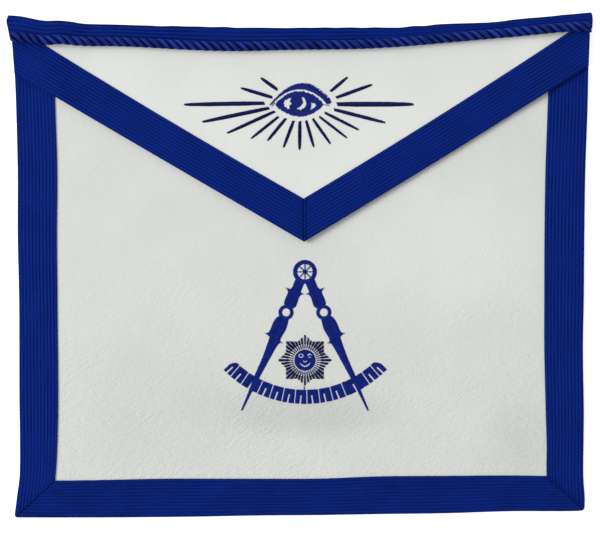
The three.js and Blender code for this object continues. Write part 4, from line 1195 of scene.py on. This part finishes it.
def band_rings(plan, sizes, shares):
    """Rings round the band folded over the top edge, with their rib places and their places on the cloth."""
    fold, thick = plan.fold, plan.ribbon
    rows = [(None, 1 - share, "crest", 0, share, 1) for share in rib_shares(sizes.band_ribs)]
    for turn in FOLD_TURNS:
        angle = math.radians(turn)
        rows.append((fold * (1 - math.sin(angle)), 0, "crest", -fold * (1 - math.cos(angle)), 1, 0))
    rows += [(0, 0, "mean", 0, 1, 0)]
    for turn in (*reversed(FOLD_TURNS), 0):
        angle = math.radians(turn)
        rows.append((fold * (1 - math.sin(angle)), 0, "floor", fold * (1 - math.cos(angle)), 1, 0))
    rows += [(mix(fold, plan.band_back, j / 8), 0, "floor", 0, 1, 0) for j in range(1, 9)]
    rows += [(plan.band_back, 0, "floor", thick, 1, 0), (thick, 0, "floor", thick, 1, 0)]
    rows += [(thick, 0, "under", 0, 1, 0)]
    rows += [(None, j / 6, "under", 0, 1, 0) for j in range(1, 7)]
    rings = np.zeros((len(shares), len(rows), 3))
    spots = np.zeros((len(shares), len(rows), 2))
    section = []
    for k, (inward, share, level, lift, *_) in enumerate(rows):
        down = plan.cord_down(plan.wide * (shares - 0.5))
        if inward is None:
            distance = mix(fold if level == "crest" else thick, down + plan.under_cord, share)
        else:
            distance = np.full_like(down, inward)
        along = np.clip(distance / down, 0, 1)
        left = plan.band_width * read(BAND_ENDS, "across", "left", along) - plan.wide / 2
        right = plan.wide / 2 - plan.band_width * read(BAND_ENDS, "across", "right", along)
        x = mix(left, right, shares)
        wave = (0.1 + 0.3 * cloudy(x, 0 * x, 9, 33)) * (1 - along) * ease(4 - abs(x) / 52)
        y = plan.top(x) - distance - wave
        crest = plan.band_under(x, y) + thick
        z = {"crest": crest, "floor": 0 * x, "under": crest - thick, "mean": crest / 2}[level] + lift
        if level == "crest" and inward is None:
            z = z + 0.12 * cloudy(x, y, 24, 21) * ease(distance / 6)
        rings[:, k] = np.stack((x, y, z), -1)
        spots[:, k] = np.stack((plan.wide * shares, distance), -1)
        section.append((float(y[0]), float(z[0])))
    return rings, spots, section, [row[4] for row in rows], [row[5] for row in rows]


class APRON_OT_band(Maker, bpy.types.Operator):
    """Makes the ribbed band folded over the top edge"""

    bl_idname = "apron.band"
    bl_label = "Band"

    def make(self, context, sizes, plan, finish):
        material = finish("ribbon")
        shares = stations(plan.wide)
        rings, spots, section, rib, ribbed = band_rings(plan, sizes, shares)
        piece = wall_strip("waist_band", rings, section, spots, [material])
        tall = len(shares), 1
        # Painted shade on the band's fold, its back and underside, and its last rib beside the fold.
        edge = [0.9 if share == 1 else 0 for share in rib]
        press_ribs(piece, np.tile(rib, tall), np.tile(ribbed, tall), np.tile(edge, tall), sizes.band_ribs,
                   0.7 * sizes.rib_depth, material)
        place_piece(piece, "blue_ribbon", "top_band")


# Cord

# Yarns that show in a strand, and depths of the valleys between strands and between yarns, as shares of the
# cord's radius
YARNS, VALLEY, YARN_RELIEF = 3.0, 0.32, 0.11

# How far in from the band's corner the cord is cut, as a share of the band's width, and points along it, in
# millimetres
CORD_INSET = 0.08
CORD_STEP = 0.6


class APRON_OT_cord(Maker, bpy.types.Operator):
    """Makes the twisted cord that is sewn along the band"""

    bl_idname = "apron.cord"
    bl_label = "Cord"

    def make(self, context, sizes, plan, finish):
        ends = [plan.band_width * (read(BAND_ENDS, "across", side, 1.0) + CORD_INSET) for side in plan.sides]
        x = np.arange(ends[0] - plan.wide / 2, plan.wide / 2 - ends[1], CORD_STEP)
        y = plan.top(x) - plan.cord_down(x)
        girth = read(TOP_EDGE, "across", "girth", plan.across(x))
        radius = sizes.cord_diameter / MM / 2
        tuck = 1 - ease(np.minimum(x - x[0], x[-1] - x) / 1.5)
        z = plan.band_under(x, y) + plan.ribbon + 0.97 * radius * girth - 0.3 * tuck
        points = np.stack((x, y, z), -1) * MM
        mesh = bpy.data.meshes.new("waist_cord")
        mesh.from_pydata(points, [(i, i + 1) for i in range(len(points) - 1)], [])
        set_values(mesh, "girth", girth * (1 - 0.1 * tuck))
        piece = add_object("waist_cord", mesh)
        run_tree(piece, tree_of("cord"), Strands=sizes.strands, Lay=sizes.strands * sizes.strand_spacing,
                 Radius=radius * MM, Valley=VALLEY, Yarns=YARNS, Yarn_relief=YARN_RELIEF,
                 Material=finish("cord"))
        place_piece(piece, "blue_cord", "twisted_cord")


# Stitches


def lay_stitches(name, segments, face, material, random, width, arch, lift):
    """A piece of one thread for each segment (x, y, x, y), lying on a face."""
    segments = np.asarray(segments, float)
    start = np.column_stack((segments[:, :2], face(segments[:, 0], segments[:, 1]) + lift))
    end = np.column_stack((segments[:, 2:], face(segments[:, 2], segments[:, 3]) + lift))
    mesh = bpy.data.meshes.new(name)
    mesh.from_pydata((start + end) / 2 * MM, [], [])
    set_values(mesh, "run", (end - start) * MM, "FLOAT_VECTOR")
    set_values(mesh, "girth", random.uniform(0.9, 1.1, len(start)))
    set_values(mesh, "tone", random.uniform(0, 1, len(start)))
    return run_tree(add_object(name, mesh), tree_of("stitches"), Thread_width=width, Arch=arch,
                    Material=material)


def resample(points, count):
    """Points at equal steps along a polyline."""
    points = np.asarray(points, float)
    run = np.concatenate(([0], np.cumsum(np.hypot(*np.diff(points, axis=0).T))))
    at = np.linspace(0, run[-1], count)
    return np.column_stack((np.interp(at, run, points[:, 0]), np.interp(at, run, points[:, 1])))


def rounded(points, closed=True, rounds=2):
    """A polyline with its corners cut twice, so that it runs smoothly."""
    points = np.asarray(points, float)
    for _ in range(rounds):
        after = np.roll(points, -1, axis=0) if closed else points[1:]
        before = points if closed else points[:-1]
        cut = np.stack((mix(before, after, 0.25), mix(before, after, 0.75)), 1).reshape(-1, 2)
        points = cut if closed else np.vstack((points[:1], cut, points[-1:]))
    return points


def satin(one, two, pitch, random, ragged=0.12):
    """Stitches across from one edge to the other, with slightly uneven ends."""
    length = max(np.hypot(*np.diff(np.asarray(edge, float), axis=0).T).sum() for edge in (one, two))
    count = max(2, int(round(length / pitch)))
    a, b = resample(one, count), resample(two, count)
    run = b - a
    size = np.maximum(np.hypot(*run.T), 1e-6)[:, None]
    out = random.uniform(-0.5, 0.5, (count, 2)) * ragged
    return np.hstack((a - run / size * out[:, :1], b + run / size * out[:, 1:]))


def hatch(loops, turn, pitch, longest, random, ragged=0.12):
    """Stitches at an angle over an area with holes; long rows are broken at uneven places."""
    angle = math.radians(turn)
    along = np.array((math.cos(angle), math.sin(angle)))
    aside = np.array((-along[1], along[0]))
    edges = np.vstack([np.hstack((loop, np.roll(loop, -1, axis=0))) for loop in loops])
    u0, v0 = edges[:, :2] @ along, edges[:, :2] @ aside
    u1, v1 = edges[:, 2:] @ along, edges[:, 2:] @ aside
    rows = []
    for number, v in enumerate(np.arange(v0.min() + pitch / 2, v0.max(), pitch)):
        hit = (v0 <= v) != (v1 <= v)
        u = np.sort(u0[hit] + (v - v0[hit]) / (v1[hit] - v0[hit]) * (u1[hit] - u0[hit]))
        for low, high in zip(u[::2], u[1::2]):
            if high - low < 0.2:
                continue
            low, high = low - random.uniform(-0.5, 0.5) * ragged, high + random.uniform(-0.5, 0.5) * ragged
            parts = max(1, math.ceil((high - low) / longest))
            shift = (number % 3 - 1) * 0.22 if parts > 1 else 0
            cuts = np.linspace(low, high, parts + 1)
            cuts[1:-1] += shift * (high - low) / parts + random.uniform(-0.15, 0.15, parts - 1)
            rows += [(a, v, b, v) for a, b in zip(cuts[:-1], cuts[1:])]
    rows = np.array(rows)
    return np.hstack([rows[:, k:k + 1] * along + rows[:, k + 1:k + 2] * aside for k in (0, 2)])


def polar(centre, radius, degrees):
    angle = np.radians(degrees)
    return np.stack((centre[0] + radius * np.cos(angle), centre[1] + radius * np.sin(angle)), -1)


def circle(centre, radius, sides=48):
    return polar(centre, radius, np.linspace(0, 360, sides, endpoint=False))


def arc(centre, radius, start, end, sides=48):
    return polar(centre, radius, np.linspace(start, end, sides))


def satin_ring(centre, outer, inner, pitch, random):
    return satin(arc(centre, outer, 0, 360), arc(centre, inner, 0, 360), pitch, random)


def eye_parts(plan, sizes, random):
    """Names, nodes and stitches of the eye and its rays."""
    pitch = sizes.thread_pitch / MM
    reach = sizes.eye_reach / MM
    width = EYE_WIDTH * reach
    centre = np.array((EYE_OFFSET, plan.middle_top - EYE_DOWN * sizes.flap_depth / MM))
    place = lambda points: centre + np.asarray(points, float) * width
    lid = satin(place(rounded(LID_TOP, False)), place(rounded(LID_UNDER, False)), pitch, random, 0.5)
    outward = (lid[:, :2] - lid[:, 2:]) / np.hypot(*(lid[:, :2] - lid[:, 2:]).T)[:, None]
    jagged = ease(np.linspace(-0.4, 1.1, len(lid))) * random.choice((0, 0.3, 1.3), len(lid))
    lid[:, :2] += outward * jagged[:, None]
    # Bare lines reach the corners of the eye: two at the left, one at the right.
    lid = np.vstack((lid, place(EYE_CORNERS).reshape(3, 4)))
    loops = [place(rounded(IRIS))] + [place(rounded(white)) for white in EYE_WHITES]
    iris = hatch(loops, 84, pitch, 6, random, 1.0)
    rays = []
    for inner_turn, inner, outer_turn, outer, thick in EYE_RAYS:
        start = polar(centre, inner * reach, inner_turn)
        end = polar(centre, outer * reach, outer_turn)
        ahead = (end - start) / np.hypot(*(end - start))
        aside = np.array((-ahead[1], ahead[0]))
        half = 0.95 * thick
        edges = [[mix(start, end, along) + side * aside * half * share for along, share in RAY_SIDES]
                 for side in (-1, 1)]
        slant = ahead * half * 0.35
        rays.append(satin(edges[0] + slant, edges[1] - slant, pitch, random, 0.16))
    return [
        ("eye_lid_stitches", ["eye_lid"], lid),
        ("eye_iris_stitches", ["eye_iris"], iris),
        ("eye_ray_stitches", [f"eye_ray_{k + 1:02d}" for k in range(len(EYE_RAYS))], np.vstack(rays)),
    ]


def emblem_parts(plan, sizes, random):
    """Names, nodes and stitches of the compasses, the quadrant and the sun."""
    pitch = sizes.thread_pitch / MM
    high = sizes.compass_height / MM
    offset = sizes.compass_offset / MM
    size = {name: share * high for name, share in EMBLEM.items()}
    room = plan.point[1] - float(plan.bottom_inner(offset)) - high - size["head"]
    head = np.array((offset, plan.point[1] - EMBLEM["above"] * room - size["head"]))

    # Head: a satin ring, thin spokes and a hub
    ring = [satin_ring(head, size["head"], size["head_hole"], pitch * 1.15, random)]
    for turn in np.arange(0, 360, 45):
        inner, outer = polar(head, size["hub"] * 0.6, turn), polar(head, size["head_hole"] + 0.4, turn)
        aside = (outer - inner)[::-1] * (-1, 1) / np.hypot(*(outer - inner)) * 0.13
        ring.append(np.array([(*(inner + aside), *(outer + aside)), (*(inner - aside), *(outer - aside))]))
    ring.append(hatch([circle(head, size["hub"])], 20, pitch, 6, random))

    # Legs: satin across each leg, with a satin ring round each knee
    legs = {}
    centre = np.array((offset, head[1] - size["quadrant_down"]))
    for name, side in (("left", -1), ("right", 1)):
        place = lambda points: head + np.asarray(points, float) * (side * high, -high)
        outline = np.vstack((rounded(LEG_OUTER, False, 1), rounded(LEG_INNER, False, 1)))
        knee = place(KNEE)
        leg = hatch([place(outline)], side * 24, pitch, 7, random, 0.1)
        middle = (leg[:, :2] + leg[:, 2:]) / 2
        clear = np.hypot(*(middle - knee).T) > size["knee"] * 0.8
        joint = satin_ring(knee, size["knee"], size["knee_hole"], pitch * 1.1, random)
        thorns = [np.hstack((bent[:-1], bent[1:])) for bent in map(place, THORNS)]
        legs[name] = [leg[clear], joint, *thorns]

    # Quadrant: blocks like the letter n, sewn across
    blocks = []
    inner_radius = size["quadrant"] - size["quadrant_width"]
    last_block = len(QUADRANT_BLOCKS) - 1
    slot_top = size["quadrant"] - size["quadrant_width"] * 0.6
    gap, slot, slant = (math.degrees(run / size["quadrant"]) for run in (BLOCK_GAP, BLOCK_SLOT, SLOT_LEAN))
    for number, (start, end) in enumerate(QUADRANT_BLOCKS):
        first, last = start - 90 + gap, end - 90 - gap
        middle = mix(first, last, 0.45)
        lean = slant * (1 if start < 0 else -1)
        # The free upper corner of the first and of the last block is round.
        inner_arc = arc(centre, inner_radius, last, first, 12)
        if number in (0, last_block):
            free = np.linspace(0, 1, 12) if number == 0 else np.linspace(1, 0, 12)
            drop = 0.45 * size["quadrant_width"] * np.clip((free - 0.35) / 0.65, 0, 1) ** 2.2
            inner_arc = polar(centre, inner_radius + drop, np.linspace(last, first, 12))
        outline = np.vstack((
            inner_arc, arc(centre, size["quadrant"], first, middle - slot, 3),
            polar(centre, slot_top, np.array((middle - slot + lean, middle + slot + lean))),
            arc(centre, size["quadrant"], middle + slot, last, 3),
        ))
        blocks.append(hatch([outline], middle + 90, pitch, 6, random, 0.1))
    left_block, right_block = (blocks[k] for k in LEG_BLOCKS)
    others = [block for k, block in enumerate(blocks) if k not in LEG_BLOCKS]

    # Sun: wedges of radial threads out to an eight-pointed star, and the face in a bare ring
    sun = np.array((offset, head[1] - size["sun_down"]))
    wedges = []
    for k in range(SUN_RAYS):
        turn = 360 * k / SUN_RAYS
        diagonal = abs(math.sin(math.radians(2 * turn))) ** 3
        upright = abs(math.sin(math.radians(turn))) ** 12
        half = 180 / SUN_RAYS * (0.64 + 0.14 * diagonal - 0.2 * upright + random.uniform(-0.05, 0.05))
        for lane in np.linspace(-1, 1, 4):
            way = turn + lane * half * 0.8
            one, two = abs(math.cos(math.radians(way))), abs(math.sin(math.radians(way)))
            star = max(math.sqrt(0.5) / max(one, two), 1 / (one + two))
            tip = size["sun"] * star * mix(1.02, 0.97, two ** 8)
            low = size["sun_ring"] + (0.17 * size["sun"] if abs(lane) > 0.5 else 0)
            points = polar(sun, np.linspace(low, tip - random.uniform(0, 0.2), 3), way)
            wedges.append(np.hstack((points[:-1], points[1:])))
    stem = polar(sun, np.array((size["sun"] * 0.96, size["sun"] * 1.15)), 268.5)
    wedges.append(np.hstack((stem[:-1], stem[1:])))
    radius = size["sun_face"]
    bare = [sun + rounded(loop) * radius for loop in FACE_BARE]
    eye = sun + np.array((-0.38, 0.42)) * radius
    oval = circle((0, 0), 1, 24)
    bare += [eye + oval * (0.25 * radius, 0.20 * radius), eye + oval * (0.15 * radius, 0.11 * radius)]
    face = hatch([circle(sun, radius)] + bare, 8, pitch, 5, random, 0.08)
    quadrant_nodes = [f"quadrant_block_{k + 1:02d}" for k in range(len(others))]
    return [
        ("compass_head_stitches", ["compass_head"], np.vstack(ring)),
        ("left_leg_stitches", ["compass_leg_left"], np.vstack(legs["left"] + [left_block])),
        ("right_leg_stitches", ["compass_leg_right"], np.vstack(legs["right"] + [right_block])),
        ("quadrant_stitches", quadrant_nodes, np.vstack(others)),
        ("sun_ray_stitches", ["sun_rays"], np.vstack(wedges)),
        ("sun_face_stitches", ["sun_face"], face),
    ]


class APRON_OT_embroidery(Maker, bpy.types.Operator):
    """Sews the eye on the flap, and the compasses, quadrant and sun on the body"""

    bl_idname = "apron.embroidery"
    bl_label = "Embroidery"

    def make(self, context, sizes, plan, finish):
        random = np.random.default_rng(41)
        groups = [(plan.flap_top, eye_parts(plan, sizes, random)),
                  (plan.panel_top, emblem_parts(plan, sizes, random))]
        for face, parts in groups:
            for name, nodes, segments in parts:
                kind = "ray thread" if "_ray_" in name else "thread"
                piece = lay_stitches(name, segments, face, finish(kind), random, width=sizes.thread_width,
                                     arch=0.75, lift=0.08)
                place_piece(piece, "blue_thread", *nodes)


# Gap between the edge stitches, in millimetres
SEWN_GAP = 0.5


def sewn_line(place, t, length, stitch, gap, start, end):
    """Segments of a row of stitches along a strip, at t across it."""
    count = int((end - start) * length // (stitch + gap))
    at = start + (np.arange(count) + 0.5) * (end - start) / count
    half = stitch / length / 2
    x0, y0 = place(np.full(count, t), at - half)
    x1, y1 = place(np.full(count, t), at + half)
    return np.column_stack((x0, y0, x1, y1))


class APRON_OT_edge_stitches(Maker, bpy.types.Operator):
    """Sews the ribbons down beside their inner edges, with the same rows showing on the back"""

    bl_idname = "apron.edge_stitches"
    bl_label = "Edge stitches"

    def make(self, context, sizes, plan, finish):
        material = finish("sewing")
        random = np.random.default_rng(43)
        stitch = sizes.sewing_stitch / MM
        t = 1 - FURROW / plan.ribbon_width
        front, back, seams = [], [], []
        for name, _, place, under, length, tucks, rests in ribbon_rows(plan):
            row = sewn_line(place, t, length, stitch, SEWN_GAP, 2 / length, 1 - 2 / length)
            lift = plan.ribbon - sizes.rib_depth / MM - 0.12
            front.append((name, row, under, lift))
            if tucks[1] == "lip":
                seams.append((name, place, under, length))
            if rests == "body_leather":
                back.append(sewn_line(place, t, length, stitch, SEWN_GAP, 18 / length, 1 - 2 / length))
        for name, place, under, length in seams:
            at = np.linspace(0.03, 0.97, round(plan.ribbon_width * 1.3 / 1.5))
            aside = np.full_like(at, 0.45 / length)
            x0, y0 = place(at - 0.01, 1 - 0.1 * aside)
            x1, y1 = place(at + 0.012, 1 - 2 * aside)
            front.append((f"{name}_seam", np.column_stack((x0, y0, x1, y1)), under, plan.ribbon + 0.1))
        for name, row, under, lift in front:
            piece = lay_stitches(f"{name}_stitches", row, under, material, random, width=sizes.sewing_width,
                                 arch=0.3, lift=lift)
            place_piece(piece, "blue_thread")
        piece = lay_stitches("back_stitches", np.vstack(back), plan.panel_under, material, random,
                             width=sizes.sewing_width, arch=-0.2, lift=-0.02)
        place_piece(piece, "blue_thread")


# Stage


def area_light(name, place, target, size, power):
    light = bpy.data.lights.new(name, "AREA")
    light.shape = "RECTANGLE"
    light.size, light.size_y = size
    light.energy = power
    lamp = add_object(name, light)
    lamp.location = place
    lamp.rotation_euler = (Vector(target) - Vector(place)).to_track_quat("-Z", "Y").to_euler()


class APRON_OT_stage(Maker, bpy.types.Operator):
    """Sets up the paper floor, the soft studio light and the camera straight above"""

    bl_idname = "apron.stage"
    bl_label = "Stage"

    def make(self, context, sizes, plan, finish):
        scene = context.scene
        reach, level = 30, -0.0006
        mesh = bpy.data.meshes.new("paper_floor")
        corners = [(x * reach, y * reach, level) for x, y in ((-1, -1), (1, -1), (1, 1), (-1, 1))]
        mesh.from_pydata(corners, [], [(0, 1, 2, 3)])
        mesh.materials.append(finish("floor"))
        add_object("paper_floor", mesh)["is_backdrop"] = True

        world = bpy.data.worlds.new("studio")
        scene.world = world
        world.use_nodes = True
        feed(world.node_tree.nodes["Background"], Color=(1, 1, 1, 1), Strength=0.55)
        area_light("key", place=(-4.6, 0.7, 4.0), target=(0, 0, 0), size=(3.2, 3.2), power=316)

        camera = bpy.data.cameras.new("camera")
        camera.lens = 300
        camera.sensor_width = 36
        frame_width = 0.4284
        seen_height = 0.004
        viewer = add_object("camera", camera)
        viewer.location = (0.00032, -0.00107, seen_height + frame_width * camera.lens / camera.sensor_width)
        camera.clip_end = 100
        scene.camera = viewer
        scene.view_settings.view_transform = "Standard"


class APRON_PT_panel(bpy.types.Panel):
    """Lists the apron's sizes, colours and pieces"""

    bl_idname = "APRON_PT_panel"
    bl_label = "Apron"
    bl_space_type = "VIEW_3D"
    bl_region_type = "UI"
    bl_category = "Apron"

    def draw(self, context):
        for group in (context.scene.apron_sizes, context.scene.apron_colours):
            box = self.layout.box()
            for name in group.__annotations__:
                box.prop(group, name)
        for operator in OPERATORS:
            self.layout.operator(operator.bl_idname)


OPERATORS = (APRON_OT_leather, APRON_OT_ribbons, APRON_OT_band, APRON_OT_cord, APRON_OT_embroidery,
             APRON_OT_edge_stitches, APRON_OT_stage)
CLASSES = (ApronSizes, ApronColours, *OPERATORS, APRON_PT_panel)


def register():
    for cls in CLASSES:
        bpy.utils.register_class(cls)
    bpy.types.Scene.apron_sizes = bpy.props.PointerProperty(type=ApronSizes)
    bpy.types.Scene.apron_colours = bpy.props.PointerProperty(type=ApronColours)


def unregister():
    del bpy.types.Scene.apron_colours
    del bpy.types.Scene.apron_sizes
    for cls in reversed(CLASSES):
        bpy.utils.unregister_class(cls)


def main():
    register()
    bpy.ops.apron.leather()
    bpy.ops.apron.ribbons()
    bpy.ops.apron.band()
    bpy.ops.apron.cord()
    bpy.ops.apron.embroidery()
    bpy.ops.apron.edge_stitches()
    bpy.ops.apron.stage()
    sizes = {"cad": [list(corner) for corner in cad_box], "visual": [list(corner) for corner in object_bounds()]}


if __name__ == "__main__":
    main()
